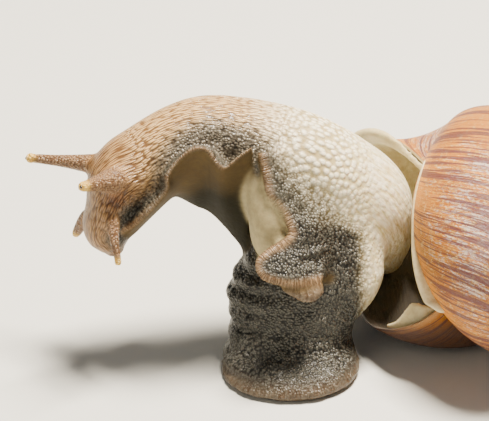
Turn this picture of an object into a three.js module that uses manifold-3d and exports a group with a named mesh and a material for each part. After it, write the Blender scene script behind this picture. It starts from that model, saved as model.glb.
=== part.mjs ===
// Giant African land snail, life size, in millimetres, +Z up.
// The body comes out of the shell, arches over to the left with the head
// held in the air, and comes down towards -Y in a broad tail on the floor.
import * as THREE from 'three';
import { mergeVertices } from 'three/addons/utils/BufferGeometryUtils.js';
import Module from 'manifold-3d';

const wasm = await Module();
wasm.setup();

// ---------------------------------------------------------------- sizes (mm)
const GAP = 0.3; // clearance between neighbouring pieces
const SPLIT = 0.15; // half of the clearance, on each side of a cut

// The shell is a right-handed spiral: an oval mouth swept round the axis
// while everything shrinks by the same factor each turn.
const SHELL = {
  growthPerTurn: 1.74,
  turns: 5,
  mouthAcross: 15.2, // half of the mouth's width
  mouthAlong: 25.4, // half of the mouth's length
  mouthLean: THREE.MathUtils.degToRad(15),
  mouthRadius: 16.3, // from the axis to the middle of the mouth
  mouthDepth: 64.6, // from the apex to the middle of the mouth, along the axis
  skew: THREE.MathUtils.degToRad(30), // slant of the mouth and growth lines
  wall: 1.3,
  hollowTurns: 0.55, // how far the last whorl is open inside
  olderTurns: 0.625, // where the whorls behind the last one end
  overshoot: 0.12, // how far the hollow runs out past the lip, in radians
  columella: 1.6, // radius of the central pillar at the mouth
  pillarEnd: 76, // where the pillar ends, from the apex
  pillarFrom: 0.08, // its start and end as parts of that length
  pillarTo: 0.94,
};

// How the shell lies: the apex points right, towards -Y and a little down.
const SHELL_POSE = {
  apex: new THREE.Vector3(68, -25.6, 14.43),
  turn: THREE.MathUtils.degToRad(36),
  dip: THREE.MathUtils.degToRad(16),
  spin: THREE.MathUtils.degToRad(151),
};

// The trunk follows the middle line from the mouth into the shell.
// `wide` is the half width away from the viewer's side, `tall` the other.
const SPINE = [
  { at: [-35.9, 8, 24.9], wide: 3.4, tall: 2.3 }, // lips
  { at: [-36.7, 8.3, 26.8], wide: 5.8, tall: 3.8 },
  { at: [-37.9, 9, 29.6], wide: 7.2, tall: 4.7 }, // face
  { at: [-37.2, 9.8, 33.4], wide: 8, tall: 4.8 },
  { at: [-35.6, 11, 37.6], wide: 8.4, tall: 6.4 },
  { at: [-33.4, 12, 40.2], wide: 8.4, tall: 7.2 }, // crown
  { at: [-29.6, 13.4, 42], wide: 8.2, tall: 7.6 }, // nape
  { at: [-23.2, 15.6, 45.2], wide: 8.2, tall: 7.6 },
  { at: [-17.3, 17.2, 46.2], wide: 8.4, tall: 8 }, // top of the arch
  { at: [-11, 17.8, 44.6], wide: 9.2, tall: 9 },
  { at: [-5.1, 17.8, 42.3], wide: 10.4, tall: 10 }, // shoulder
  { at: [2.1, 17.5, 39.2], wide: 11.3, tall: 10.6 },
  { at: [9.2, 19, 33.7], wide: 11.8, tall: 11 },
  { at: [14.8, 21, 27.8], wide: 11.6, tall: 10.8 }, // shell mouth
  { at: [17.6, 25, 20.8], wide: 9.4, tall: 8.4 },
  { at: [19, 28.5, 15], wide: 7, tall: 6.6 },
  { at: [20, 31, 11], wide: 4.6, tall: 4.4 }, // inside the shell
];
const HEAD_SPAN = [0, 6];
const NECK_SPAN = [6, 10];
const TRUNK_SPAN = [10, 16];

// The front of the foot: a broad band under head and neck, rolled so that
// its `near` edge rides high and its `far` edge hangs low behind it.
const FOOT_BAND = [
  { near: [-34, 4, 30.4], far: [-33.1, 11, 25.2], deep: 2 }, // front tip
  { near: [-30.2, 1.5, 34.7], far: [-29.3, 17.6, 26.5], deep: 2.4 },
  { near: [-25.1, 1, 41.5], far: [-24.8, 21.2, 29.2], deep: 3 },
  { near: [-24.8, 1.5, 44.7], far: [-23, 21, 29.6], deep: 3 },
  { near: [-21.6, 3, 48.8], far: [-19.3, 19, 28.4], deep: 3 },
  { near: [-17.5, 3.5, 50], far: [-16.6, 18.5, 27.3], deep: 3 },
  { near: [-14, 3, 45.7], far: [-13.1, 17, 24.3], deep: 3 }, // dip in the hem
  { near: [-10.1, 4.5, 48.2], far: [-10.1, 14.5, 20.8], deep: 3 },
  { near: [-7.7, 6, 49.1], far: [-8.6, 12.5, 19.7], deep: 3 },
];
const SOLE_SWELL = 0.6; // how far the sole bulges out of its band
const SOLE_WEDGE = 1.5; // how much thicker its far edge is, on the body's side

// The inner side of the turn, where the sole is squeezed into a pad.
const SOLE_PAD = [
  { at: [-6.6, 10.5, 43], wide: 2.6, tall: 2 },
  { at: [-6, 9, 39], wide: 3.8, tall: 2.8 },
  { at: [-4.9, 7.6, 35.5], wide: 5, tall: 4 },
  { at: [-3.9, 6.4, 31.5], wide: 5.4, tall: 4.6 },
  { at: [-3.8, 5.6, 28], wide: 4.8, tall: 4.2 },
  { at: [-3.8, 5.2, 25.4], wide: 3.6, tall: 3.2 },
];

// The lobe of the foot's edge that folds over on the flank.
const FOOT_LOBE = [
  { near: [-6.6, 5.6, 47.8], far: [-4.4, 11, 45], deep: 1.2 },
  { near: [-5.6, 4.6, 43.6], far: [-2.4, 10.5, 40.8], deep: 1.4 },
  { near: [-4.9, 3, 39.5], far: [0.8, 9.8, 36.4], deep: 1.5 },
  { near: [-1.9, 2, 35.6], far: [3, 9, 32.4], deep: 1.6 },
  { near: [-0.6, -0.6, 32.2], far: [4.2, 8, 29.4], deep: 1.6 },
  { near: [-5.2, -3, 30.1], far: [5, 7, 27.4], deep: 1.6 },
  { near: [-7.4, -5, 28.1], far: [6, 6, 25.4], deep: 1.6 },
  { near: [-5.7, -7, 25.2], far: [7, 5.4, 23.4], deep: 1.6 },
  { near: [0.4, -7, 23.6], far: [8, 4.8, 22], deep: 1.5 },
  { near: [6.2, -4.4, 23.2], far: [9, 4.6, 21.6], deep: 1.2 },
];
const LOBE_SWELL = 0.8;
const LOBE_WEDGE = 5;

// The lobe's lowest stretch rolls its sole outwards.
const LOBE_CURL = [
  { at: [-1.4, -5.4, 22.6], wide: 1.6, tall: 0.7 },
  { at: [3, -5.2, 21.2], wide: 2.4, tall: 1.5 },
  { at: [5.9, -4.2, 21.6], wide: 2, tall: 1.5 },
];

// Level slices of the tail, from the floor up into the trunk.
const TAIL = [
  { at: [0.2, 0.6], wide: 12.7, deep: 12.6, level: 0 },
  { at: [0.1, 0.4], wide: 13.7, deep: 13.5, level: 1.3 },
  { at: [0.1, 1], wide: 13.8, deep: 13.2, level: 3.2 },
  { at: [0.2, 4], wide: 12.9, deep: 11.4, level: 6.4 },
  { at: [0.8, 6.6], wide: 13, deep: 10.4, level: 9.4 },
  { at: [2.5, 8.4], wide: 15.3, deep: 10.8, level: 14 },
  { at: [4, 10], wide: 15.5, deep: 11, level: 18 },
  { at: [5.2, 11.6], wide: 14.3, deep: 10.8, level: 22 },
  { at: [6, 13.4], wide: 12.5, deep: 10.4, level: 27 },
  { at: [6.6, 15.4], wide: 10, deep: 9.4, level: 33 },
];

// Feelers, from the root inside the head to the middle of the end knob.
const FEELERS = {
  upper_feeler_far: {
    line: [[-32.8, 13, 41.6], [-38.6, 15, 40.4], [-46, 17, 40.1], [-53.4, 19, 39.8]],
    thick: [3.4, 2.1, 1.3, 0.9],
    knob: 1.12,
  },
  upper_feeler_near: {
    line: [[-31.6, 8.6, 40.6], [-35.4, 5, 42], [-38.6, 1.5, 43.2], [-42, -2, 44.2]],
    thick: [4, 3.1, 1.9, 1.05],
    knob: 1.15,
  },
  lower_feeler_far: {
    line: [[-38.6, 12.4, 31.6], [-41.9, 14.2, 28.4], [-44.2, 16, 23.8]],
    thick: [2.4, 1.6, 0.95],
    knob: 0.9,
  },
  lower_feeler_near: {
    line: [[-36.4, 3.6, 34.6], [-35.9, -0.8, 31.6], [-35.1, -2.6, 27.2]],
    thick: [2.4, 1.3, 0.75],
    knob: 0.85,
  },
};
const EYE_RADIUS = 0.42;
const EYE_LOOK = {
  upper_feeler_far: new THREE.Vector3(-0.96, 0.1, -0.1),
  upper_feeler_near: new THREE.Vector3(-0.42, -0.82, 0.3),
};

// The mantle: a collar of flesh deep in the mouth, and a thick pale roll
// along the front of the outer lip.
const COLLAR_ANGLES = [-1.75, -0.95];
const LIP_ROLL = { from: -158, to: -66, radius: 1.5, ahead: 0.16, inset: 0.4, endTaper: 0.55 };

// Round ends, and a box larger than the snail.
const HEAD_DOME = 1.6;
const PAD_DOME = 1.5;
const CURL_DOME = 0.8;
const WEDGE_FADE = 0.8; // how quickly a band thickens away from its near edge
const WEDGE_ROUND = 4; // how sharply that thickness ends at the band's edges
const EYE_SUNK = 0.48; // part of the eye's radius that is sunk in the knob
const BOX = { wide: 400, high: 200 };

const SIDES = 14; // points round a slice
const STEPS = 2; // slices for each stretch between two stations
const WHORL_STEP = Math.PI / 8; // angle between two slices of the shell
const TAIL_SLICES = 12;
const TAIL_SIDES = 20;
const BAND_SIDES = 10; // points round a slice of foot
const ROUND_SIDES = 8; // points round a feeler, a roll or the pillar
const BALL_ROWS = 6;
const DOME_STEPS = 4; // slices of a round end
const PILLAR_STEPS = 12;
const ROLL_STEPS = 8;
const AWAY = new THREE.Vector3(0, 1, 0);

// ------------------------------------------------------------- small helpers
const vector = (triple) => new THREE.Vector3(...triple);

/** Catmull-Rom blend of four numbers. */
function blend(a, b, c, d, w) {
  const slopeIn = (c - a) / 2;
  const slopeOut = (d - b) / 2;
  const cubic = 2 * b - 2 * c + slopeIn + slopeOut;
  const square = -3 * b + 3 * c - 2 * slopeIn - slopeOut;
  return ((cubic * w + square) * w + slopeIn) * w + b;
}

/** The station at position t (0 is the first one), every field smoothed. */
function stationAt(stations, t) {
  const last = stations.length - 1;
  const first = Math.min(Math.max(Math.floor(t), 0), last - 1);
  const four = [-1, 0, 1, 2].map((k) => stations[Math.min(Math.max(first + k, 0), last)]);
  const w = t - first;
  const mixed = {};
  for (const key of Object.keys(stations[0])) {
    const values = four.map((station) => station[key]);
    if (Array.isArray(values[0])) {
      mixed[key] = values[0].map((_, i) => blend(...values.map((v) => v[i]), w));
    } else {
      mixed[key] = blend(...values, w);
    }
  }
  return mixed;
}

/** Evenly spread positions from a to b. */
function spread(a, b, count) {
  return Array.from({ length: count + 1 }, (_, i) => a + ((b - a) * i) / count);
}

/** A closed solid through a row of rings with equal point counts. */
function solidFromRings(rings) {
  const size = rings[0].length;
  const points = rings.flat();
  const faces = [];
  for (let ring = 0; ring + 1 < rings.length; ring += 1) {
    for (let i = 0; i < size; i += 1) {
      const a = ring * size + i;
      const b = ring * size + ((i + 1) % size);
      faces.push([a, b, b + size], [a, b + size, a + size]);
    }
  }
  for (const [ring, flip] of [[0, true], [rings.length - 1, false]]) {
    const middle = new THREE.Vector3();
    rings[ring].forEach((p) => middle.add(p));
    points.push(middle.divideScalar(size));
    const hub = points.length - 1;
    for (let i = 0; i < size; i += 1) {
      const a = ring * size + i;
      const b = ring * size + ((i + 1) % size);
      faces.push(flip ? [hub, b, a] : [hub, a, b]);
    }
  }
  return toManifold(points, faces);
}

/** Turns points and faces into a manifold solid that faces out. */
function toManifold(points, faces) {
  let volume = 0;
  for (const [a, b, c] of faces) {
    volume += points[a].dot(new THREE.Vector3().crossVectors(points[b], points[c]));
  }
  const outward = volume > 0 ? faces : faces.map(([a, b, c]) => [a, c, b]);
  return new wasm.Manifold(new wasm.Mesh({
    numProp: 3,
    vertProperties: new Float32Array(points.flatMap((p) => p.toArray())),
    triVerts: new Uint32Array(outward.flat()),
  }));
}

/** A three.js geometry as a manifold solid. */
function fromGeometry(geometry) {
  geometry.deleteAttribute('normal');
  geometry.deleteAttribute('uv');
  const merged = mergeVertices(geometry);
  const places = merged.getAttribute('position');
  const points = Array.from({ length: places.count }, (_, i) => (
    new THREE.Vector3().fromBufferAttribute(places, i)
  ));
  const index = Array.from(merged.getIndex().array);
  const faces = spread(0, index.length / 3 - 1, index.length / 3 - 1)
    .map((i) => index.slice(3 * Math.round(i), 3 * Math.round(i) + 3));
  return toManifold(points, faces);
}

/** A ball. */
function ball(centre, radius) {
  const sphere = new THREE.SphereGeometry(radius, ROUND_SIDES, BALL_ROWS);
  sphere.translate(centre.x, centre.y, centre.z);
  return fromGeometry(sphere);
}

/** Everything above the floor inside a generous box. */
function aboveFloor() {
  const space = new THREE.BoxGeometry(BOX.wide, BOX.wide, BOX.high);
  space.translate(0, 0, BOX.high / 2);
  return fromGeometry(space);
}

/** The largest single piece of a solid. */
function largestPiece(solid) {
  const pieces = solid.decompose();
  return pieces.reduce((best, piece) => (piece.volume() > best.volume() ? piece : best));
}

// --------------------------------------------------------------- body solids
/** One oval ring round a spine station. */
function spineRing(stations, t, grow, sides) {
  const here = stationAt(stations, t);
  const step = 0.02;
  const before = vector(stationAt(stations, t - step).at);
  const along = vector(stationAt(stations, t + step).at).sub(before).normalize();
  const across = AWAY.clone().addScaledVector(along, -AWAY.dot(along)).normalize();
  const up = new THREE.Vector3().crossVectors(along, across);
  return Array.from({ length: sides }, (_, i) => {
    const angle = (2 * Math.PI * i) / sides;
    return vector(here.at)
      .addScaledVector(across, (here.wide + grow) * Math.cos(angle))
      .addScaledVector(up, (here.tall + grow) * Math.sin(angle));
  });
}

/** A shrinking copy of a ring, pushed outwards: one step of a round end. */
function domeRings(ring, push, count) {
  const middle = new THREE.Vector3();
  ring.forEach((p) => middle.add(p));
  middle.divideScalar(ring.length);
  return spread(0, Math.PI / 2, count).slice(1, -1).map((angle) => ring.map((p) => (
    p.clone().sub(middle).multiplyScalar(Math.cos(angle)).add(middle)
      .addScaledVector(push, Math.sin(angle))
  )));
}

/** The stretch of a station row between two positions, grown by `grow`. */
function spineSolid(stations, [start, end], { grow = 0, sides = SIDES, dome = 0 } = {}) {
  const length = (t) => vector(stationAt(stations, t + 0.02).at)
    .distanceTo(vector(stationAt(stations, t - 0.02).at)) / 0.04;
  const from = start > 0 ? start + (SPLIT - grow) / length(start) : start;
  const to = end < stations.length - 1 ? end - (SPLIT - grow) / length(end) : end;
  const rings = spread(from, to, Math.round((end - start) * STEPS))
    .map((t) => spineRing(stations, t, grow, sides));
  if (dome > 0) {
    const push = vector(stations[0].at).sub(vector(stations[1].at)).setLength(dome + grow);
    rings.unshift(...domeRings(rings[0], push, DOME_STEPS).reverse());
  }
  return solidFromRings(rings);
}

/** A band of foot between a near and a far edge, thicker on the body's side. */
function bandSolid(stations, { swell, wedge }, grow = 0) {
  const rings = spread(0, stations.length - 1, (stations.length - 1) * STEPS).map((t) => {
    const here = stationAt(stations, t);
    const next = stationAt(stations, Math.min(t + 0.05, stations.length - 1));
    const last = stationAt(stations, Math.max(t - 0.05, 0));
    const middleOf = (s) => vector(s.near).add(vector(s.far)).multiplyScalar(0.5);
    const along = middleOf(next).sub(middleOf(last)).normalize();
    const half = vector(here.near).sub(vector(here.far)).multiplyScalar(0.5);
    const up = new THREE.Vector3().crossVectors(half, along).normalize();
    const reach = (half.length() + grow) / half.length();
    return Array.from({ length: BAND_SIDES }, (_, i) => {
      const angle = (2 * Math.PI * i) / BAND_SIDES;
      const side = Math.sin(angle) > 0 ? here.deep : swell;
      const inland = ((1 - Math.cos(angle)) / 2) ** WEDGE_FADE;
      const root = wedge * inland * THREE.MathUtils.clamp(WEDGE_ROUND * Math.sin(angle), 0, 1);
      return middleOf(here)
        .addScaledVector(half, Math.cos(angle) * reach)
        .addScaledVector(up, Math.sin(angle) * (side + grow) + root);
    });
  });
  return solidFromRings(rings);
}

/** The tail, stacked from level slices. */
function tailSolid(grow = 0) {
  const rings = spread(0, TAIL.length - 1, TAIL_SLICES).map((t) => {
    const slice = stationAt(TAIL, t);
    return Array.from({ length: TAIL_SIDES }, (_, i) => {
      const angle = (2 * Math.PI * i) / TAIL_SIDES;
      return new THREE.Vector3(
        slice.at[0] + (slice.wide + grow) * Math.cos(angle),
        slice.at[1] + (slice.deep + grow) * Math.sin(angle),
        Math.max(slice.level, 0),
      );
    });
  });
  return solidFromRings(rings);
}

/** A feeler with its end knob. */
function feelerSolid({ line, thick, knob }) {
  const stations = line.map((at, i) => ({ at, wide: thick[i], tall: thick[i] }));
  const stalk = spineSolid(stations, [0, stations.length - 1], { sides: ROUND_SIDES });
  return stalk.add(ball(vector(line[line.length - 1]), knob));
}

// -------------------------------------------------------------- shell solids
/** The shell's own axes in the model. */
function shellFrame() {
  const { turn, dip, spin } = SHELL_POSE;
  const axis = new THREE.Vector3(
    Math.cos(dip) * Math.sin(turn),
    -Math.cos(dip) * Math.cos(turn),
    -Math.sin(dip),
  );
  const up = new THREE.Vector3(0, 0, 1).addScaledVector(axis, -axis.z).normalize();
  const side = new THREE.Vector3().crossVectors(axis, up);
  const first = up.multiplyScalar(Math.cos(spin)).addScaledVector(side, Math.sin(spin));
  return { axis, first, second: new THREE.Vector3().crossVectors(axis, first) };
}
const FRAME = shellFrame();

/** A point given by radius, angle and height in the shell's own axes. */
function shellPlace(radius, angle, height) {
  return SHELL_POSE.apex.clone()
    .addScaledVector(FRAME.first, radius * Math.cos(angle))
    .addScaledVector(FRAME.second, radius * Math.sin(angle))
    .addScaledVector(FRAME.axis, height);
}

/** A point of the swept mouth: `theta` is 0 at the lip and negative inside. */
function mouthPoint(theta, phi, inset) {
  const across = (SHELL.mouthAcross - inset) * Math.cos(phi);
  const along = (SHELL.mouthAlong - inset) * Math.sin(phi);
  const lean = SHELL.mouthLean;
  const radius = SHELL.mouthRadius + across * Math.cos(lean) + along * Math.sin(lean);
  const lift = along * Math.cos(lean) - across * Math.sin(lean);
  const scale = SHELL.growthPerTurn ** (theta / (2 * Math.PI));
  const angle = -(theta + (SHELL.skew * lift) / SHELL.mouthAlong);
  return shellPlace(radius * scale, angle, (lift - SHELL.mouthDepth) * scale);
}

/** A piece of whorl between two angles. */
function whorlPiece(from, to, inset = 0) {
  const rings = spread(from, to, Math.max(Math.round((to - from) / WHORL_STEP), 1))
    .map((theta) => Array.from({ length: SIDES }, (_, i) => (
      mouthPoint(theta, (2 * Math.PI * i) / SIDES, inset)
    )));
  return solidFromRings(rings);
}

/** Whorls from one angle to another, joined from half turns. */
function whorls(from, to, inset = 0) {
  const pieces = [];
  for (let start = from; start < to - 1e-6; start += Math.PI) {
    pieces.push(whorlPiece(start, Math.min(start + Math.PI, to), inset));
  }
  return wasm.Manifold.union(pieces);
}

/** The central pillar that closes the middle of the spiral. */
function columella() {
  const rings = spread(SHELL.pillarFrom, SHELL.pillarTo, PILLAR_STEPS).map((depth) => (
    Array.from({ length: ROUND_SIDES }, (_, i) => shellPlace(
      SHELL.columella * depth,
      (2 * Math.PI * i) / ROUND_SIDES,
      -depth * SHELL.pillarEnd,
    ))
  ));
  return solidFromRings(rings);
}

/** The whole shell; `grow` fattens its walls on both sides. */
function shellSolid(grow = 0) {
  const start = -2 * Math.PI * SHELL.turns;
  const open = -2 * Math.PI * SHELL.hollowTurns;
  const outer = whorls(start, grow / SHELL.mouthRadius, -grow);
  const inner = whorls(open, SHELL.overshoot, SHELL.wall + grow);
  const older = whorls(start, -2 * Math.PI * SHELL.olderTurns, -grow);
  const body = outer.subtract(inner).add(older).add(columella());
  return largestPiece(body.intersect(aboveFloor()));
}

/** The mantle's collar, filling the mouth round the trunk. */
function collarSolid(shellGrown, trunkGrown) {
  const plug = whorls(COLLAR_ANGLES[0], COLLAR_ANGLES[1], SHELL.wall + GAP);
  return largestPiece(plug.subtract(shellGrown).subtract(trunkGrown));
}

/** The pale roll in front of the outer lip. */
function lipRoll() {
  const { from, to, radius, ahead, inset, endTaper } = LIP_ROLL;
  const stations = spread(from, to, ROLL_STEPS).map((angle, i) => {
    const place = mouthPoint(ahead, THREE.MathUtils.degToRad(angle), inset);
    const taper = i === 0 || i === ROLL_STEPS ? endTaper : 1;
    return { at: place.toArray(), wide: radius * taper, tall: radius * taper };
  });
  return spineSolid(stations, [0, stations.length - 1], { sides: ROUND_SIDES });
}

// ------------------------------------------------------------------ assembly
const head = spineSolid(SPINE, HEAD_SPAN, { dome: HEAD_DOME });
const neck = spineSolid(SPINE, NECK_SPAN);
const headGrown = spineSolid(SPINE, HEAD_SPAN, { dome: HEAD_DOME, grow: GAP });
const neckGrown = spineSolid(SPINE, NECK_SPAN, { grow: GAP });
const trunkFull = spineSolid(SPINE, TRUNK_SPAN);
const trunkGrown = spineSolid(SPINE, TRUNK_SPAN, { grow: GAP });
const shell = shellSolid();
const shellGrown = shellSolid(GAP);
const trunk = largestPiece(trunkFull.subtract(shellGrown));
const tail = largestPiece(tailSolid().subtract(trunkGrown).subtract(shellGrown));
const tailGrown = tailSolid(GAP);
const lobeShape = { swell: LOBE_SWELL, wedge: LOBE_WEDGE };
const curl = spineSolid(LOBE_CURL, [0, LOBE_CURL.length - 1], { dome: CURL_DOME });
const lobeFull = bandSolid(FOOT_LOBE, lobeShape).add(curl);
const lobe = largestPiece(lobeFull.subtract(trunkGrown).subtract(tailGrown).subtract(neckGrown));
const lobeGrown = bandSolid(FOOT_LOBE, lobeShape, GAP);
const solePad = spineSolid(SOLE_PAD, [0, SOLE_PAD.length - 1], { dome: PAD_DOME });
const footFull = bandSolid(FOOT_BAND, { swell: SOLE_SWELL, wedge: SOLE_WEDGE }).add(solePad);
const bodyGrown = wasm.Manifold.union([head, headGrown, neckGrown, trunkGrown, tailGrown, lobeGrown]);
const foot = largestPiece(footFull.subtract(bodyGrown));

const LOOKS = {
  shell: { color: 0xb5673a, roughness: 0.35 },
  mantle: { color: 0xd9c79c, roughness: 0.35 },
  trunk: { color: 0xcbb98f, roughness: 0.4 },
  neck: { color: 0xa9794a, roughness: 0.4 },
  head: { color: 0x96683c, roughness: 0.4 },
  foot: { color: 0xb08a58, roughness: 0.4 },
  tail: { color: 0x574c40, roughness: 0.4 },
  feeler: { color: 0x8a6048, roughness: 0.4 },
  eye: { color: 0x15110d, roughness: 0.15 },
};

const snail = new THREE.Group();

/** Adds a solid to the group as a named mesh. */
function addPiece(name, solid, look) {
  const { vertProperties, triVerts } = solid.getMesh();
  const geometry = new THREE.BufferGeometry();
  geometry.setAttribute('position', new THREE.BufferAttribute(vertProperties, 3));
  geometry.setIndex(new THREE.BufferAttribute(triVerts, 1));
  geometry.computeVertexNormals();
  const material = new THREE.MeshStandardMaterial({ ...LOOKS[look], metalness: 0 });
  const mesh = new THREE.Mesh(geometry, material);
  mesh.name = name;
  snail.add(mesh);
}

addPiece('shell', shell, 'shell');
addPiece('mantle_collar', collarSolid(shellGrown, trunkGrown), 'mantle');
addPiece('mantle_roll', largestPiece(lipRoll().subtract(shellGrown).subtract(trunkGrown)), 'mantle');
addPiece('trunk', trunk, 'trunk');
addPiece('neck', neck, 'neck');
addPiece('head', head, 'head');
addPiece('foot_front', foot, 'foot');
addPiece('foot_lobe', lobe, 'foot');
addPiece('tail', tail, 'tail');

for (const [name, feeler] of Object.entries(FEELERS)) {
  let solid = feelerSolid(feeler).subtract(headGrown).subtract(neckGrown);
  const look = EYE_LOOK[name];
  if (look) {
    const centre = vector(feeler.line[feeler.line.length - 1])
      .addScaledVector(look.clone().normalize(), feeler.knob - EYE_RADIUS * EYE_SUNK);
    solid = solid.subtract(ball(centre, EYE_RADIUS + GAP));
    addPiece(name.replace('upper_feeler', 'eye'), ball(centre, EYE_RADIUS), 'eye');
  }
  addPiece(name, largestPiece(solid), 'feeler');
}

// The origin is on the floor under the middle of the whole snail.
const box = new THREE.Box3().setFromObject(snail);
const middle = box.getCenter(new THREE.Vector3());
snail.position.set(-middle.x, -middle.y, -box.min.z);

export default snail;
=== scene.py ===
"""A giant African land snail, life size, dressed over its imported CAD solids.

One skin covers all the flesh: it is lofted from the body's stations, joined by a
voxel remesh, relaxed where two forms meet, and given its relief by Geometry Nodes.
The shell is a swept spiral with a thin lip, and the eyes are pieces of their own.
"""
import logging
import math
from dataclasses import dataclass
from enum import Enum
from typing import Any, NamedTuple, Sequence

import bpy
import numpy as np
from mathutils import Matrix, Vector
from mathutils.kdtree import KDTree


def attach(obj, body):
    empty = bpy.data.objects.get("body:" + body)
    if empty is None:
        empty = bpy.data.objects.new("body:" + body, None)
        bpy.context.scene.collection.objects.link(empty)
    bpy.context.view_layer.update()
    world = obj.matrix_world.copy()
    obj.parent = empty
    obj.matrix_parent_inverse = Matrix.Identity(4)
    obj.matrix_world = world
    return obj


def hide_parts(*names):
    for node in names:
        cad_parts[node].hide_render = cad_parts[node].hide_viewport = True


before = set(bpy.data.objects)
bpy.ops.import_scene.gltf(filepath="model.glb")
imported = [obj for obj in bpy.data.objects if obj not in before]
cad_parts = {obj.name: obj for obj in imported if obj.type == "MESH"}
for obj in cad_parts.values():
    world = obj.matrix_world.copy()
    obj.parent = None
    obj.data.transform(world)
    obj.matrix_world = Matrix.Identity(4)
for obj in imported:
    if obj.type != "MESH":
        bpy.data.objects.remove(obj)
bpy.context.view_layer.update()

LOG = logging.getLogger("snail")
MM = 0.001
# Where the layout's origin lies in the frame, in millimetres.
LAYOUT_SHIFT = np.array((-6.549, -11.621, 0.0))


# ------------------------------------------------------------------ small tools
MATH, MIX, RANGE, MAPPING = "ShaderNodeMath", "ShaderNodeMix", "ShaderNodeMapRange", "ShaderNodeMapping"
NOISE, CELLS, BUMP = "ShaderNodeTexNoise", "ShaderNodeTexVoronoi", "ShaderNodeBump"
MARK = "ShaderNodeAttribute"
# Settings that several nodes share.
COLOUR, NUMBER = {"data_type": "RGBA"}, {"data_type": "FLOAT"}
FLAT, SOLID = {"noise_dimensions": "2D"}, {"noise_dimensions": "3D"}
FLAT_CELLS, SOLID_CELLS = ({"voronoi_dimensions": size, "feature": "F1"} for size in ("2D", "3D"))
SOFT = {"interpolation_type": "SMOOTHSTEP"}
TIMES, PLUS, MINUS, SHARE = ({"operation": word} for word in ("MULTIPLY", "ADD", "SUBTRACT", "DIVIDE"))
TIMES_PLUS, LARGER, POWER = ({"operation": word} for word in ("MULTIPLY_ADD", "MAXIMUM", "POWER"))


def linear(code: str) -> tuple[float, float, float, float]:
    """Turns an sRGB hex colour into linear light.

    Args:
        code: Six hex digits with a leading #.

    Returns:
        Red, green, blue and alpha for a node socket.
    """
    parts = [int(code[i:i + 2], 16) / 255 for i in (1, 3, 5)]
    light = [p / 12.92 if p <= 0.04045 else ((p + 0.055) / 1.055) ** 2.4 for p in parts]
    return (*light, 1.0)


def add_node(tree: bpy.types.NodeTree, kind: str, settings: dict[str, Any] | None = None,
             inputs: dict[Any, Any] | Sequence[Any] = (),
             output: int | str = 0) -> bpy.types.NodeSocket | None:
    """Adds a node with its settings, values and links.

    Args:
        tree: Node tree that gets the node.
        kind: The node's type name.
        settings: Node properties by name.
        inputs: Values, hex colours or sockets, in the inputs' order or by name or number.
        output: Name or number of the output to return.

    Returns:
        That output, or None for a node that has no outputs.
    """
    made = tree.nodes.new(kind)
    for name, value in (settings or {}).items():
        setattr(made, name, value)
    for name, value in (inputs.items() if isinstance(inputs, dict) else enumerate(inputs)):
        if isinstance(value, bpy.types.NodeSocket):
            tree.links.new(value, made.inputs[name])
        elif isinstance(value, str) and value.startswith("#"):
            made.inputs[name].default_value = linear(value)
        else:
            made.inputs[name].default_value = value
    return made.outputs[output] if len(made.outputs) else None


def smooth_step(value: np.ndarray, low: float, high: float) -> np.ndarray:
    """Eases from 0 at low to 1 at high; low may be the larger one."""
    part = np.clip((value - low) / (high - low), 0.0, 1.0)
    return part * part * (3 - 2 * part)


def fade(value: np.ndarray, low: float, high: float) -> np.ndarray:
    """Eases from 1 at low to 0 at high."""
    return 1 - smooth_step(value, low, high)


def blend_rows(rows: np.ndarray, where: np.ndarray) -> np.ndarray:
    """Catmull-Rom values between rows of numbers.

    Args:
        rows: One row of numbers for each station.
        where: Positions, 0 at the first row and 1 more at each next one.

    Returns:
        One row of numbers for each position.
    """
    last = len(rows) - 1
    first = np.clip(np.floor(where).astype(int), 0, last - 1)
    a, b, c, d = (rows[np.clip(first + k, 0, last)] for k in (-1, 0, 1, 2))
    w = (where - first)[:, None]
    slope_in, slope_out = (c - a) / 2, (d - b) / 2
    cubic = 2 * b - 2 * c + slope_in + slope_out
    square = -3 * b + 3 * c - 2 * slope_in - slope_out
    return ((cubic * w + square) * w + slope_in) * w + b


def unit(rows: np.ndarray) -> np.ndarray:
    """Scales each row to length 1."""
    return rows / np.maximum(np.linalg.norm(rows, axis=-1, keepdims=True), 1e-9)


def run(line: np.ndarray) -> np.ndarray:
    """Distance along a line of points, at each of them."""
    return np.append(0, np.cumsum(np.linalg.norm(np.diff(line, axis=0), axis=1)))


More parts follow.
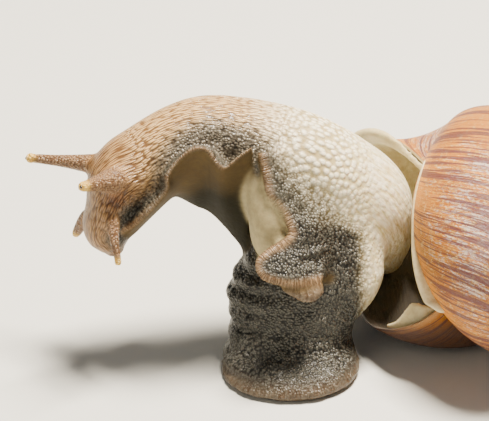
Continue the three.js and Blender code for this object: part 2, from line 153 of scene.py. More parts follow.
# ------------------------------------------------------------------- plain forms
@dataclass
class Form:
    """A closed surface of points and faces, in layout millimetres."""

    points: np.ndarray
    faces: list[tuple[int, ...]]

    @classmethod
    def from_rings(cls, rings: np.ndarray) -> "Form":
        """Joins rings of equal size and closes both ends.

        Args:
            rings: Array of rings by points by 3.

        Returns:
            The closed form, with its faces pointing out.
        """
        rows, size, _ = rings.shape
        points = np.vstack([rings.reshape(-1, 3), rings[0].mean(0), rings[-1].mean(0)])
        faces: list[tuple[int, ...]] = []
        for row in range(rows - 1):
            for i in range(size):
                a, b = row * size + i, row * size + (i + 1) % size
                faces.append((a, b, b + size, a + size))
        hub, top, end = rows * size, rows * size + 1, (rows - 1) * size
        for i in range(size):
            j = (i + 1) % size
            faces.append((hub, j, i))
            faces.append((top, end + i, end + j))
        return cls(points, faces).facing_out()

    def facing_out(self) -> "Form":
        """Turns all faces round if the form is inside out.

        Returns:
            The form itself.
        """
        volume = 0.0
        for face in self.faces:
            for k in range(1, len(face) - 1):
                a, b, c = (self.points[face[m]] for m in (0, k, k + 1))
                volume += float(np.dot(a, np.cross(b, c)))
        if volume < 0:
            self.faces = [tuple(reversed(face)) for face in self.faces]
        return self

    @staticmethod
    def joined(forms: Sequence["Form"]) -> "Form":
        """Puts several forms into one.

        Args:
            forms: The forms.

        Returns:
            One form with all their points and faces.
        """
        points, faces, start = [], [], 0
        for form in forms:
            points.append(form.points)
            faces += [tuple(i + start for i in face) for face in form.faces]
            start += len(form.points)
        return Form(np.vstack(points), faces)

    def to_object(self, name: str) -> bpy.types.Object:
        """Makes a mesh object at real size, in the frame's own place.

        Args:
            name: Name of the object and of its mesh.

        Returns:
            The new object, at the origin.
        """
        mesh = bpy.data.meshes.new(name)
        mesh.from_pydata(((self.points + LAYOUT_SHIFT) * MM).tolist(), [], self.faces)
        mesh.update()
        made = bpy.data.objects.new(name, mesh)
        bpy.context.scene.collection.objects.link(made)
        return made


class Oval(NamedTuple):
    """An oval slice: its middle, its half width in depth and its half height."""

    at: tuple[float, float, float]
    wide: float
    tall: float


class Strip(NamedTuple):
    """A slice of a band of foot: its two edges and its thickness over the sole."""

    near: tuple[float, float, float]
    far: tuple[float, float, float]
    deep: float


class Slice(NamedTuple):
    """A level slice of the tail."""

    at: tuple[float, float]
    wide: float
    deep: float
    level: float


def flat_rows(stations: Sequence[NamedTuple]) -> np.ndarray:
    """Lays each station's numbers out in one row."""
    return np.array([np.hstack([np.ravel(value) for value in station]) for station in stations], float)


def ring_rows(middle: np.ndarray, first: np.ndarray, second: np.ndarray, wide: np.ndarray,
              tall: np.ndarray) -> np.ndarray:
    """Ovals of 20 points round a line.

    Args:
        middle: The line's points.
        first: Direction of each oval's width.
        second: Direction of each oval's height.
        wide: Half widths.
        tall: Half heights.

    Returns:
        Array of rings by points by 3.
    """
    turn = np.linspace(0, 2 * np.pi, 20, endpoint=False)[None, :, None]
    return (middle[:, None] + wide[:, None, None] * first[:, None] * np.cos(turn)
            + tall[:, None, None] * second[:, None] * np.sin(turn))


def oval_frame(stations: Sequence[Oval], where: np.ndarray) -> tuple[np.ndarray, ...]:
    """Middles, directions and half sizes of oval slices.

    Args:
        stations: The slices that the line runs through.
        where: Positions along them.

    Returns:
        Middles, along, across and up directions, and half widths and heights.
    """
    rows = flat_rows(stations)
    here = blend_rows(rows, where)
    along = unit(blend_rows(rows, where + 0.02)[:, :3] - blend_rows(rows, where - 0.02)[:, :3])
    away = np.array([0.0, 1.0, 0.0])
    across = unit(away - along * (along @ away)[:, None])
    return here[:, :3], along, across, np.cross(along, across), here[:, 3], here[:, 4]


def oval_form(stations: Sequence[Oval], steps: int, sides: int, start_dome: float = 0.0,
              end_dome: float = 0.0) -> Form:
    """Lofts a row of oval slices.

    Args:
        stations: The slices.
        steps: Rings for each stretch between two slices.
        sides: Points round a ring.
        start_dome: Height of a round end before the first slice.
        end_dome: Height of a round end after the last slice.

    Returns:
        The closed form.
    """
    where = np.linspace(0, len(stations) - 1, (len(stations) - 1) * steps + 1)
    middle, along, across, up, wide, tall = oval_frame(stations, where)
    angle = np.linspace(0, 2 * np.pi, sides, endpoint=False)
    rings = (middle[:, None] + across[:, None] * (wide[:, None] * np.cos(angle))[..., None]
             + up[:, None] * (tall[:, None] * np.sin(angle))[..., None])
    lifts = np.linspace(0, np.pi / 2, 8)[1:-1]
    if start_dome:
        caps = [(rings[0] - middle[0]) * math.cos(a) + middle[0] - along[0] * start_dome * math.sin(a)
                for a in lifts[::-1]]
        rings = np.concatenate([np.array(caps), rings])
    if end_dome:
        caps = [(rings[-1] - middle[-1]) * math.cos(a) + middle[-1] + along[-1] * end_dome * math.sin(a)
                for a in lifts]
        rings = np.concatenate([rings, np.array(caps)])
    return Form.from_rings(rings)


def strip_form(stations: Sequence[Strip], swell: float, wedge: float, steps: int,
               sides: int) -> tuple[Form, np.ndarray]:
    """Lofts a band of foot.

    Args:
        stations: The band's slices.
        swell: How far the sole bulges out.
        wedge: How much thicker the far edge is than the near one, on the body's side.
        steps: Rings for each stretch between two slices.
        sides: Points round a ring.

    Returns:
        The closed form, and for each point how far it is on the sole's side and
        how near it is to the near edge.
    """
    rows = flat_rows(stations)
    where = np.linspace(0, len(stations) - 1, (len(stations) - 1) * steps + 1)
    here, after, before = (blend_rows(rows, np.clip(where + step, 0, len(stations) - 1))
                           for step in (0, 0.05, -0.05))
    middle = (here[:, :3] + here[:, 3:6]) / 2
    along = unit((after[:, :3] + after[:, 3:6]) - (before[:, :3] + before[:, 3:6]))
    half = (here[:, :3] - here[:, 3:6]) / 2
    up = unit(np.cross(half, along))
    angle = np.linspace(0, 2 * np.pi, sides, endpoint=False)
    root = wedge * ((1 - np.cos(angle)) / 2) ** 0.8 * np.clip(np.sin(angle) * 4, 0, 1)
    side = np.where(np.sin(angle)[None] > 0, here[:, 6:7], swell) * np.sin(angle)[None] + root[None]
    rings = middle[:, None] + half[:, None] * np.cos(angle)[None, :, None] + up[:, None] * side[..., None]
    marks = np.tile(np.stack([-np.sin(angle), np.cos(angle)], 1), (len(where), 1))
    return Form.from_rings(rings), np.vstack([marks, [[0, 0], [0, 0]]])


def ball_form(centre: Sequence[float], radius: float) -> Form:
    """A ball as a short row of rings.

    Args:
        centre: Its middle.
        radius: Its radius.

    Returns:
        The closed form.
    """
    lifts = np.linspace(-np.pi / 2, np.pi / 2, 12)[1:-1]
    turns = np.linspace(0, 2 * np.pi, 20, endpoint=False)
    rings = np.array([[(math.cos(lift) * math.cos(turn), math.cos(lift) * math.sin(turn), math.sin(lift))
                       for turn in turns] for lift in lifts])
    return Form.from_rings(rings * radius + np.array(centre))


# ------------------------------------------------------------------------- shell
@dataclass
class Shell:
    """The right-handed spiral shell, in layout millimetres."""

    growth_per_turn: float = 1.74
    turns: float = 6.0
    mouth_across: float = 15.2
    mouth_along: float = 25.4
    mouth_lean: float = math.radians(15)
    mouth_radius: float = 16.3
    mouth_depth: float = 64.6
    skew: float = math.radians(30)
    wall: float = 1.3
    lip: float = 0.6
    hollow_turns: float = 0.55
    # The last turns have rows twice as close as the older ones.
    fine_turns: float = 1.6
    # Growth angle at which the whorl beside the mouth ends and the last whorl's own wall begins.
    older_from: float = -2.5
    # Mean radii that turn the growth angle and the mouth angle into millimetres.
    growth_radius: float = 22.0
    edge_radius: float = 20.0
    apex: tuple[float, float, float] = (68.0, -25.6, 14.43)
    turn: float = math.radians(36)
    dip: float = math.radians(16)
    spin: float = math.radians(151)
    rows_per_turn: int = 144
    # Growth angle in radians and mouth angle in degrees along the callus.
    callus: tuple[tuple[float, float], ...] = (
        (-3.9, -51), (-4.02, -47), (-4.24, -41), (-4.44, -36), (-4.71, -28), (-4.98, -19), (-5.23, -6),
        (-5.5, 7), (-5.59, 13), (-5.69, 19),
    )
    sides: int = 154

    def __post_init__(self) -> None:
        """Works out the shell's own axes."""
        axis = np.array([math.cos(self.dip) * math.sin(self.turn),
                         -math.cos(self.dip) * math.cos(self.turn), -math.sin(self.dip)])
        up = unit(np.array([0, 0, 1.0]) - axis * axis[2])
        side = np.cross(axis, up)
        first = up * math.cos(self.spin) + side * math.sin(self.spin)
        self.axes = np.stack([first, np.cross(axis, first), axis])

    def mouth_point(self, theta: np.ndarray, phi: np.ndarray, inset: float = 0.0) -> np.ndarray:
        """Points of the swept mouth.

        Args:
            theta: Angle of growth, 0 at the lip and negative inside.
            phi: Angle round the mouth's oval.
            inset: How far inside the outer surface.

        Returns:
            Points in layout millimetres.
        """
        across = (self.mouth_across - inset) * np.cos(phi)
        along = (self.mouth_along - inset) * np.sin(phi)
        radius = self.mouth_radius + across * math.cos(self.mouth_lean) + along * math.sin(self.mouth_lean)
        lift = along * math.cos(self.mouth_lean) - across * math.sin(self.mouth_lean)
        scale = self.growth_per_turn ** (theta / (2 * np.pi))
        angle = -(theta + self.skew * lift / self.mouth_along)
        local = np.stack([radius * scale * np.cos(angle), radius * scale * np.sin(angle),
                          (lift - self.mouth_depth) * scale], -1)
        return local @ self.axes + np.array(self.apex)

    def callus_line(self) -> np.ndarray:
        """The pale edge that the mantle has laid on the whorl beside the mouth."""
        rows = np.radians(np.array(self.callus) * [180 / np.pi, 1])
        fine = blend_rows(rows, np.linspace(0, len(rows) - 1, 200))
        return self.mouth_point(fine[:, 0], fine[:, 1])

    def form(self) -> tuple[Form, np.ndarray]:
        """Builds the wall: outside, rounded lip, inside and its closed end.

        Returns:
            The form, and for each point its growth angle, mouth angle and side
            (0 outside, 1 inside).
        """
        phi = np.linspace(-np.pi, np.pi, self.sides, endpoint=False)
        start, end = -2 * np.pi * self.turns, -2 * np.pi * self.hollow_turns
        rows: list[tuple[float, float, float]] = []
        fine_from, bend_from = -2 * np.pi * self.fine_turns, -0.02
        early_rows = int((self.turns - self.fine_turns) * self.rows_per_turn / 2)
        early = np.linspace(start, fine_from, early_rows, endpoint=False)
        for theta in (*early, *np.linspace(fine_from, bend_from, int(self.fine_turns * self.rows_per_turn))):
            rows.append((theta, 0.0, 0.0))
        for bend in np.linspace(0, np.pi, 7)[1:-1]:
            part = (1 - math.cos(bend)) / 2
            rows.append((0.015 * math.sin(bend), self.lip * part, part))
        for theta in np.linspace(bend_from, end, int(self.hollow_turns * self.rows_per_turn)):
            thick = float(smooth_step(np.array(-theta), 0.0, 0.45))
            rows.append((theta, self.lip + (self.wall - self.lip) * thick, 1.0))
        rings = np.array([self.mouth_point(np.full(self.sides, t), phi, i) for t, i, _ in rows])
        marks = np.array([[(t, p, s) for p in phi] for t, _, s in rows]).reshape(-1, 3)
        ends = np.array([[rows[0][0], 0, 0], [rows[-1][0], 0, 1]])
        form = Form.from_rings(rings)
        form.points[:, 2] = np.maximum(form.points[:, 2], 0.0)
        return form, np.vstack([marks, ends])

    def build(self, finish: bpy.types.Material) -> bpy.types.Object:
        """Builds and dresses the shell.

        Args:
            finish: Its material.

        Returns:
            The finished shell.
        """
        form, marks = self.form()
        piece = form.to_object("shell_wall")
        theta, phi, side = marks.T
        size = self.growth_per_turn ** (theta / (2 * np.pi))
        older = theta < self.older_from
        # The growth lines lag behind below the shoulder, more so on the older whorls.
        lag = np.clip(0.05 - 0.14 * (theta + 4.2), 0.05, 0.3)
        across, along = (theta + lag * phi) * self.growth_radius, phi * self.edge_radius * size
        store(piece.data, "growth", np.stack([across, along, np.zeros(len(theta))], 1))
        store(piece.data, "inside", np.clip(side, 0, 1))
        above = 1 - np.exp(-(np.degrees(phi) - 50) ** 2 / (2 * 40 ** 2))
        store(piece.data, "rim", fade(np.abs(theta), 0.012, 0.05) * above ** 2)
        beside = Nearest(self.callus_line()).look(form.points)[0]
        edge = 0.6 * fade(beside, 2.0, 4.5) + 0.4 * fade(beside, 4.0, 18.0)
        fresh = np.where(older, edge, fade(-theta, 0.3, 1.4))
        # The horn is whole on the shoulder, below the suture.
        shoulder = smooth_step(form.points @ np.array([0.0, 0.47, 0.883]), 44, 50) * older
        store(piece.data, "fresh", np.maximum(fresh, 0.75 * shoulder))
        # Painted shade: the last whorl darkens from 19 mm down to 9 mm above the floor, where it lies in
        # shade under the mouth; on the shoulder a little of the same dark deepens the horn's own tone.
        under = fade(form.points[:, 2], 9, 19) * (theta > self.older_from)
        store(piece.data, "under", np.maximum(under, 0.3 * shoulder))
        dress(piece, finish)
        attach(piece, "root")
        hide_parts("shell")
        return piece

    def build_callus(self, finish: bpy.types.Material) -> bpy.types.Object:
        """Builds the pale edge beside the mouth.

        Args:
            finish: Its material.

        Returns:
            The finished edge.
        """
        line = self.callus_line()
        along = unit(np.gradient(line, axis=0))
        part = np.linspace(0, 1, len(line))
        ends = np.sqrt(np.clip(np.sin(np.pi * np.clip(part, 0.004, 0.996)) * 6, 0.02, 1))
        thick = (0.26 + 0.4 * part ** 1.6) * ends
        # It spreads to the left along its later half.
        spread = 0.9 * smooth_step(part, 0.45, 0.8) * np.clip(np.sin(np.pi * part) * 1.6, 0.02, 1)
        left = np.array([-1.0, 0.0, 0.0])
        left = unit(left - along * (along @ left)[:, None])
        middle = line + left * spread[:, None]
        rings = ring_rows(middle, left, np.cross(along, left), thick + spread, thick)
        piece = Form.from_rings(rings).to_object("shell_callus")
        dress(piece, finish)
        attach(piece, "root")
        return piece


# -------------------------------------------------------------------------- body
@dataclass
class Body:
    """The snail's flesh: stations in layout millimetres."""

    spine: tuple[Oval, ...] = (
        Oval((-35.9, 8, 24.9), 3.4, 2.3),
        Oval((-36.7, 8.3, 26.8), 5.8, 3.8),
        Oval((-37.9, 9, 29.6), 7.2, 4.7),
        Oval((-37.2, 9.8, 33.4), 8, 4.8),
        Oval((-35.6, 11, 37.6), 8.4, 6.4),
        Oval((-33.4, 12, 40.2), 8.4, 7.2),
        Oval((-29.6, 13.4, 42), 8.2, 7.6),
        Oval((-23.2, 15.6, 45.2), 8.2, 7.6),
        Oval((-17.3, 17.2, 46.2), 8.4, 8),
        Oval((-11, 17.8, 44.6), 9.2, 9),
        Oval((-5.1, 17.8, 42.3), 10.4, 10),
        Oval((2.1, 17.5, 39.2), 11.3, 10.6),
        Oval((9.2, 19, 33.7), 11.8, 11),
        Oval((14.8, 21, 27.8), 11.6, 10.8),
        Oval((17.6, 25, 20.8), 9.4, 8.4),
        Oval((19, 28.5, 15), 7, 6.6),
        Oval((20, 31, 11), 4.6, 4.4),
    )
    foot_band: tuple[Strip, ...] = (
        Strip((-34, 4, 30.4), (-33.1, 11, 25.2), 2),
        Strip((-30.2, 1.5, 34.7), (-29.3, 17.6, 26.5), 2.4),
        Strip((-25.1, 1, 41.5), (-24.8, 21.2, 29.2), 3),
        Strip((-24.8, 1.5, 44.7), (-23, 21, 29.6), 3),
        Strip((-21.6, 3, 48.8), (-19.3, 19, 28.4), 3),
        Strip((-17.5, 3.5, 50), (-16.6, 18.5, 27.3), 3),
        Strip((-14, 3, 45.7), (-13.1, 17, 24.3), 3),
        Strip((-10.1, 4.5, 48.2), (-10.1, 14.5, 20.8), 3),
        Strip((-7.7, 6, 49.1), (-8.6, 12.5, 19.7), 3),
    )
    sole_pad: tuple[Oval, ...] = (
        Oval((-6.6, 10.5, 43), 2.6, 2),
        Oval((-6, 9, 39), 3.8, 2.8),
        Oval((-4.9, 7.6, 35.5), 5, 4),
        Oval((-3.9, 6.4, 31.5), 5.4, 4.6),
        Oval((-3.8, 5.6, 28), 4.8, 4.2),
        Oval((-3.8, 5.2, 25.4), 3.6, 3.2),
    )
    curl: tuple[Oval, ...] = (
        Oval((-1.4, -5.4, 22.6), 1.6, 0.7),
        Oval((3, -5.2, 21.2), 2.4, 1.5),
        Oval((5.9, -4.2, 21.6), 2, 1.5),
    )
    foot_lobe: tuple[Strip, ...] = (
        Strip((-6.6, 5.6, 47.8), (-4.4, 11, 45), 1.2),
        Strip((-5.6, 4.6, 43.6), (-2.4, 10.5, 40.8), 1.4),
        Strip((-4.9, 3, 39.5), (0.8, 9.8, 36.4), 1.5),
        Strip((-1.9, 2, 35.6), (3, 9, 32.4), 1.6),
        Strip((-0.6, -0.6, 32.2), (4.2, 8, 29.4), 1.6),
        Strip((-5.2, -3, 30.1), (5, 7, 27.4), 1.6),
        Strip((-7.4, -5, 28.1), (6, 6, 25.4), 1.6),
        Strip((-5.7, -7, 25.2), (7, 5.4, 23.4), 1.6),
        Strip((0.4, -7, 23.6), (8, 4.8, 22), 1.5),
        Strip((6.2, -4.4, 23.2), (9, 4.6, 21.6), 1.2),
    )
    tail: tuple[Slice, ...] = (
        Slice((0.2, 0.6), 12.7, 12.6, 0),
        Slice((0.1, 0.4), 13.7, 13.5, 1.3),
        Slice((0.1, 1), 13.8, 13.2, 3.2),
        Slice((0.2, 4), 12.9, 11.4, 6.4),
        Slice((0.8, 6.6), 13, 10.4, 9.4),
        Slice((2.5, 8.4), 15.3, 10.8, 14),
        Slice((4, 10), 15.5, 11, 18),
        Slice((5.2, 11.6), 14.3, 10.8, 22),
        Slice((6, 13.4), 12.5, 10.4, 27),
        Slice((6.6, 15.4), 10, 9.4, 33),
    )

    # Mean radius of the trunk and of the tail, which turns an angle into a distance round them.
    girth: float = 9.0
    tail_girth: float = 13.0

    def tail_form(self) -> Form:
        """Stacks the tail's level slices.

        Returns:
            The closed form.
        """
        rows = flat_rows(self.tail)
        sides = 96
        here = blend_rows(rows, np.linspace(0, len(rows) - 1, 80))
        angle = np.linspace(0, 2 * np.pi, sides, endpoint=False)[None]
        level = here[:, 4:5]
        # Folds lie across the left side, and a groove runs over the thin skirt at the right.
        folds = 0.55 * np.sin(level * 1.75 + 1.2 * np.cos(angle * 2)) * smooth_step(-np.cos(angle), 0.1, 0.8)
        groove = -1.1 * np.exp(-((level - 6.2) / 1.7) ** 2) * smooth_step(np.cos(angle - 5.3), 0.1, 0.9)
        skirt = 0.7 * np.exp(-((level - 1.1) / 1.0) ** 2)
        out = (folds + groove + skirt) * smooth_step(level, 0.0, 0.6)
        rings = np.stack([here[:, 0:1] + (here[:, 2:3] + out) * np.cos(angle),
                          here[:, 1:2] + (here[:, 3:4] + out) * np.sin(angle),
                          np.repeat(np.maximum(level, 0), sides, 1)], -1)
        return Form.from_rings(rings)


class Feeler(NamedTuple):
    """A feeler: its line from the root to the middle of its end knob."""

    line: tuple[tuple[float, float, float], ...]
    thick: tuple[float, ...]
    knob: float
    look: tuple[float, float, float] | None

    def forms(self) -> list[Form]:
        """The stalk and the knob."""
        stations = [Oval(at, thick, thick) for at, thick in zip(self.line, self.thick)]
        return [oval_form(stations, 8, 24), ball_form(self.line[-1], self.knob)]


FEELERS = {
    "upper_feeler_far": Feeler(((-32.8, 13, 41.6), (-38.6, 15, 40.4), (-46, 17, 40.1), (-53.4, 19, 39.8)),
                               (4.2, 2.5, 1.4, 0.92), 1.12, (-0.96, 0.1, -0.1)),
    "upper_feeler_near": Feeler(((-31.6, 8.6, 40.6), (-35.4, 5, 42), (-38.6, 1.5, 43.2), (-42, -2, 44.2)),
                                (4, 3.1, 1.9, 1.05), 1.15, (-0.42, -0.82, 0.3)),
    "lower_feeler_far": Feeler(((-38.6, 12.4, 31.6), (-41.9, 14.2, 28.4), (-44.2, 16, 23.8)),
                               (2.4, 1.6, 0.95), 0.9, None),
    "lower_feeler_near": Feeler(((-36.4, 3.6, 34.6), (-35.9, -0.8, 31.6), (-35.1, -2.6, 27.2)),
                                (1.9, 1.05, 0.75), 0.85, None),
}


# ------------------------------------------------------------------ mesh helpers
def ready_mesh(piece: bpy.types.Object) -> None:
    """Replaces a piece's mesh by what its modifiers make, and drops them.

    Args:
        piece: The piece.
    """
    bpy.context.view_layer.update()
    graph = bpy.context.evaluated_depsgraph_get()
    made = bpy.data.meshes.new_from_object(piece.evaluated_get(graph), preserve_all_data_layers=True,
                                           depsgraph=graph)
    piece.modifiers.clear()
    old, piece.data = piece.data, made
    made.name = piece.name
    bpy.data.meshes.remove(old)


def mesh_points(mesh: bpy.types.Mesh) -> np.ndarray:
    """Reads a mesh's points, in metres."""
    flat = np.empty(len(mesh.vertices) * 3, np.float32)
    mesh.vertices.foreach_get("co", flat)
    return flat.reshape(-1, 3).astype(float)


def set_mesh_points(mesh: bpy.types.Mesh, points: np.ndarray) -> None:
    """Writes a mesh's points, in metres."""
    mesh.vertices.foreach_set("co", points.astype(np.float32).ravel())
    mesh.update()


def shade_smooth(mesh: bpy.types.Mesh) -> None:
    """Shades every face smooth."""
    mesh.polygons.foreach_set("use_smooth", np.ones(len(mesh.polygons), bool))


def dress(piece: bpy.types.Object, finish: bpy.types.Material) -> None:
    """Shades a piece smooth, gives it its finish and reports it.

    Args:
        piece: The piece.
        finish: Its material.
    """
    shade_smooth(piece.data)
    if not piece.data.materials:
        piece.data.materials.append(finish)
    LOG.info("%s: %d points", piece.name, len(piece.data.vertices))


def store(mesh: bpy.types.Mesh, name: str, values: np.ndarray) -> None:
    """Keeps one number or one vector for each point of a mesh.

    Args:
        mesh: The mesh.
        name: Name of the attribute.
        values: A number or a row of three for each point.
    """
    kind, key = ("FLOAT", "value") if values.ndim == 1 else ("FLOAT_VECTOR", "vector")
    layer = mesh.attributes.new(name, kind, "POINT")
    layer.data.foreach_set(key, values.astype(np.float32).ravel())


class Relaxer:
    """Averages values over a mesh's edges."""

    def __init__(self, mesh: bpy.types.Mesh) -> None:
        """Reads the edges of a mesh."""
        ends = np.empty(len(mesh.edges) * 2, np.int32)
        mesh.edges.foreach_get("vertices", ends)
        self.a, self.b = ends.reshape(-1, 2).T
        self.count = len(mesh.vertices)
        self.degree = np.maximum(np.bincount(ends, minlength=self.count), 1)

    def mean(self, values: np.ndarray) -> np.ndarray:
        """The mean of each point's neighbours.

        Args:
            values: One row for each point.

        Returns:
            The means, in the same shape.
        """
        table = values.reshape(self.count, -1)
        total = np.empty_like(table)
        for k in range(table.shape[1]):
            column = table[:, k]
            total[:, k] = (np.bincount(self.a, column[self.b], self.count)
                           + np.bincount(self.b, column[self.a], self.count))
        return (total / self.degree[:, None]).reshape(values.shape)

    def relax(self, values: np.ndarray, times: int, amount: np.ndarray | float = 1.0) -> np.ndarray:
        """Moves values towards their neighbours' mean.

        Args:
            values: One row for each point.
            times: How often.
            amount: Strength from 0 to 1, for all points or for each one.

        Returns:
            The relaxed values.
        """
        part = amount if np.ndim(amount) == 0 or values.ndim == 1 else np.asarray(amount)[:, None]
        for _ in range(times):
            values = values + (self.mean(values) - values) * part * 0.5
        return values


class Nearest:
    """Finds the nearest of some points, with the numbers they carry."""

    def __init__(self, points: np.ndarray, marks: np.ndarray | None = None) -> None:
        """Builds the search tree."""
        self.tree = KDTree(len(points))
        for index, point in enumerate(points):
            self.tree.insert(point, index)
        self.tree.balance()
        self.marks = marks

    def look(self, points: np.ndarray) -> tuple[np.ndarray, np.ndarray | None]:
        """Finds the nearest point for each point.

        Args:
            points: The points to look from.

        Returns:
            The distances, and the numbers that the nearest points carry.
        """
        found = [self.tree.find(point)[1:] for point in points]
        index = np.array([item[0] for item in found])
        far = np.array([item[1] for item in found])
        return far, None if self.marks is None else self.marks[index]


# -------------------------------------------------------------------- finishes
class Region(Enum):
    """Marks of the skin, each a number from 0 to 1 for every point."""

    NECK = "neck"
    HEAD = "head"
    # Painted shade under the near upper feeler's root.
    FEELER_SHADE = "feeler_shade"
    DUSK = "dusk"
    FLANK = "flank"
    SMOOTH = "smooth"
    SOLE = "sole"
    SHADED_SOLE = "shaded_sole"
    HEM = "hem"
    FEELER = "feeler"
    KNOB = "knob"
    MANTLE = "mantle"


def new_finish(name: str) -> bpy.types.Material:
    """Starts a material that has no nodes yet."""
    made = bpy.data.materials.new(name)
    made.use_nodes = True
    made.node_tree.nodes.clear()
    return made


@dataclass(frozen=True)
class WetSkin:
    """Living snail skin, grown in ridges and tubercles and kept wet by slime.

    Pale ridges and granules stand over darker furrows, partly in the skin's own colours and partly as painted
    shade in the furrows and painted highlight on the tips; the thin film of slime on them gives the eye many
    small highlights.
    """

    # Sizes of the ridges, striae, tubercles and grains, in millimetres.
    ridge_long: float = 1.7
    ridge_wide: float = 0.54
    stria: float = 0.26
    tubercle: float = 1.1
    grain: float = 0.52
    rough: float = 0.36
    slime: float = 0.16
    # Depth of the finest relief, in metres.
    relief: float = 0.00024
    base: tuple[str, str] = ("#c0ad7a", "#fef7dc")
    # Furrow and tip colours of the regions, which are laid over one another in this order; the third is
    # painted shade under the near upper feeler's root.
    palette: tuple[tuple[Region, str, str], ...] = (
        (Region.NECK, "#70502c", "#d2ad78"), (Region.HEAD, "#66472a", "#ae875a"),
        (Region.FEELER_SHADE, "#3c1e0a", "#6a401b"), (Region.DUSK, "#131311", "#5e5c53"),
        (Region.FLANK, "#2b2620", "#948b7b"), (Region.HEM, "#67503a", "#94795a"),
        (Region.FEELER, "#664a34", "#9c7c5a"), (Region.KNOB, "#d2a544", "#eecb74"),
    )

    def make(self) -> bpy.types.Material:
        """Builds the material.

        Returns:
            The skin's material, which reads the skin's own attributes.
        """
        skin = new_finish("wet snail skin")
        tree = skin.node_tree
        mark = {region: add_node(tree, MARK, {"attribute_name": region.value}, output="Fac")
                for region in Region}
        lie = add_node(tree, MARK, {"attribute_name": "lie"}, output="Vector")
        place = add_node(tree, "ShaderNodeTexCoord", output="Object")
        # Slow patches make every colour drift a little over the body.
        drift, speck = (add_node(tree, NOISE, SOLID,
                                 {"Vector": place, "Scale": scale, "Detail": detail, "Roughness": 0.6})
                        for scale, detail in ((130.0, 4.0), (900.0, 3.0)))
        # Shallow wrinkles cross the smooth skin beside the shell.
        crease = add_node(tree, MAPPING, {},
                          {"Vector": lie, "Rotation": (0.0, 0.0, 0.7), "Scale": (0.35, 1.5, 1.0)})
        wrinkle = add_node(tree, NOISE, FLAT,
                           {"Vector": crease, "Scale": 0.9, "Detail": 5.0, "Roughness": 0.65})
        top = self.top(tree, mark, lie, place)
        colour = self.colour(tree, mark, top, drift, wrinkle)
        mottled = add_node(tree, MIX, {**COLOUR, "blend_type": "OVERLAY"}, {0: 0.35, 6: colour, 7: speck}, 2)
        # The sole and the mantle are almost smooth.
        plain = add_node(tree, MATH, LARGER, (mark[Region.SOLE], mark[Region.MANTLE]))
        calm = add_node(tree, MATH, LARGER, (add_node(tree, MATH, TIMES, (mark[Region.SMOOTH], 0.7)), plain))
        keep = add_node(tree, RANGE, {}, {0: calm, 3: 1.0, 4: 0.12})
        height = add_node(tree, MATH, TIMES, (top, keep))
        wrinkled = add_node(tree, MATH, TIMES, (wrinkle, mark[Region.SMOOTH]))
        creased = add_node(tree, MATH, PLUS, (height, wrinkled))
        fine = add_node(tree, MATH, TIMES_PLUS, (speck, 0.25, creased))
        bump = add_node(tree, BUMP, {}, {"Strength": 1.0, "Distance": self.relief, "Height": fine})
        wet = add_node(tree, RANGE, {}, {0: speck, 3: self.rough - 0.06, 4: self.rough + 0.16})
        gloss = add_node(tree, MATH, TIMES_PLUS, (mark[Region.SOLE], 0.45, wet))
        film = add_node(tree, RANGE, {}, {0: mark[Region.SOLE], 3: self.slime, 4: 0.0})
        shader = add_node(tree, "ShaderNodeBsdfPrincipled", {},
                          {"Base Color": mottled, "Roughness": gloss, "Normal": bump, "IOR": 1.34,
                           "Subsurface Weight": 0.12, "Subsurface Scale": 0.0012,
                           "Subsurface Radius": (1.0, 0.5, 0.3),
                           "Coat Weight": film, "Coat Roughness": 0.14, "Coat Normal": bump})
        add_node(tree, "ShaderNodeOutputMaterial", {}, {"Surface": shader})
        return skin

    def top(self, tree: bpy.types.NodeTree, mark: dict[Region, bpy.types.NodeSocket],
            lie: bpy.types.NodeSocket, place: bpy.types.NodeSocket) -> bpy.types.NodeSocket:
        """Adds the skin's pattern: 0 in the furrows and 1 on the tips.

        Args:
            tree: The material's node tree.
            mark: The regions.
            lie: Place along and round the body.
            place: Place in space.

        Returns:
            The pattern.
        """
        # Long ridges run along the neck and down the face.
        warp = add_node(tree, NOISE, SOLID, {"Vector": place, "Scale": 260.0, "Detail": 2.0}, "Color")
        strip = add_node(tree, MAPPING, {},
                         {"Vector": lie, "Scale": (1 / self.ridge_long, 1 / self.ridge_wide, 1.0)})
        bent = add_node(tree, "ShaderNodeVectorMath", TIMES_PLUS, (warp, (0.4, 0.6, 0.0), strip))
        ridge = add_node(tree, CELLS, FLAT_CELLS, {"Vector": bent, "Scale": 1.0, "Randomness": 0.85})
        ridge_top = add_node(tree, RANGE, SOFT, (ridge, 0.74, 0.12))
        # Fine lines cross the foot's hem at right angles.
        hem_lie = add_node(tree, MARK, {"attribute_name": "hem_lie"}, output="Vector")
        hem_line = add_node(tree, MAPPING, {}, {"Vector": hem_lie, "Scale": (1 / self.stria, 0.3, 1.0)})
        striae = add_node(tree, NOISE, FLAT, {"Vector": hem_line, "Scale": 0.8, "Detail": 2.0})
        stria_top = add_node(tree, RANGE, SOFT, (striae, 0.36, 0.62))
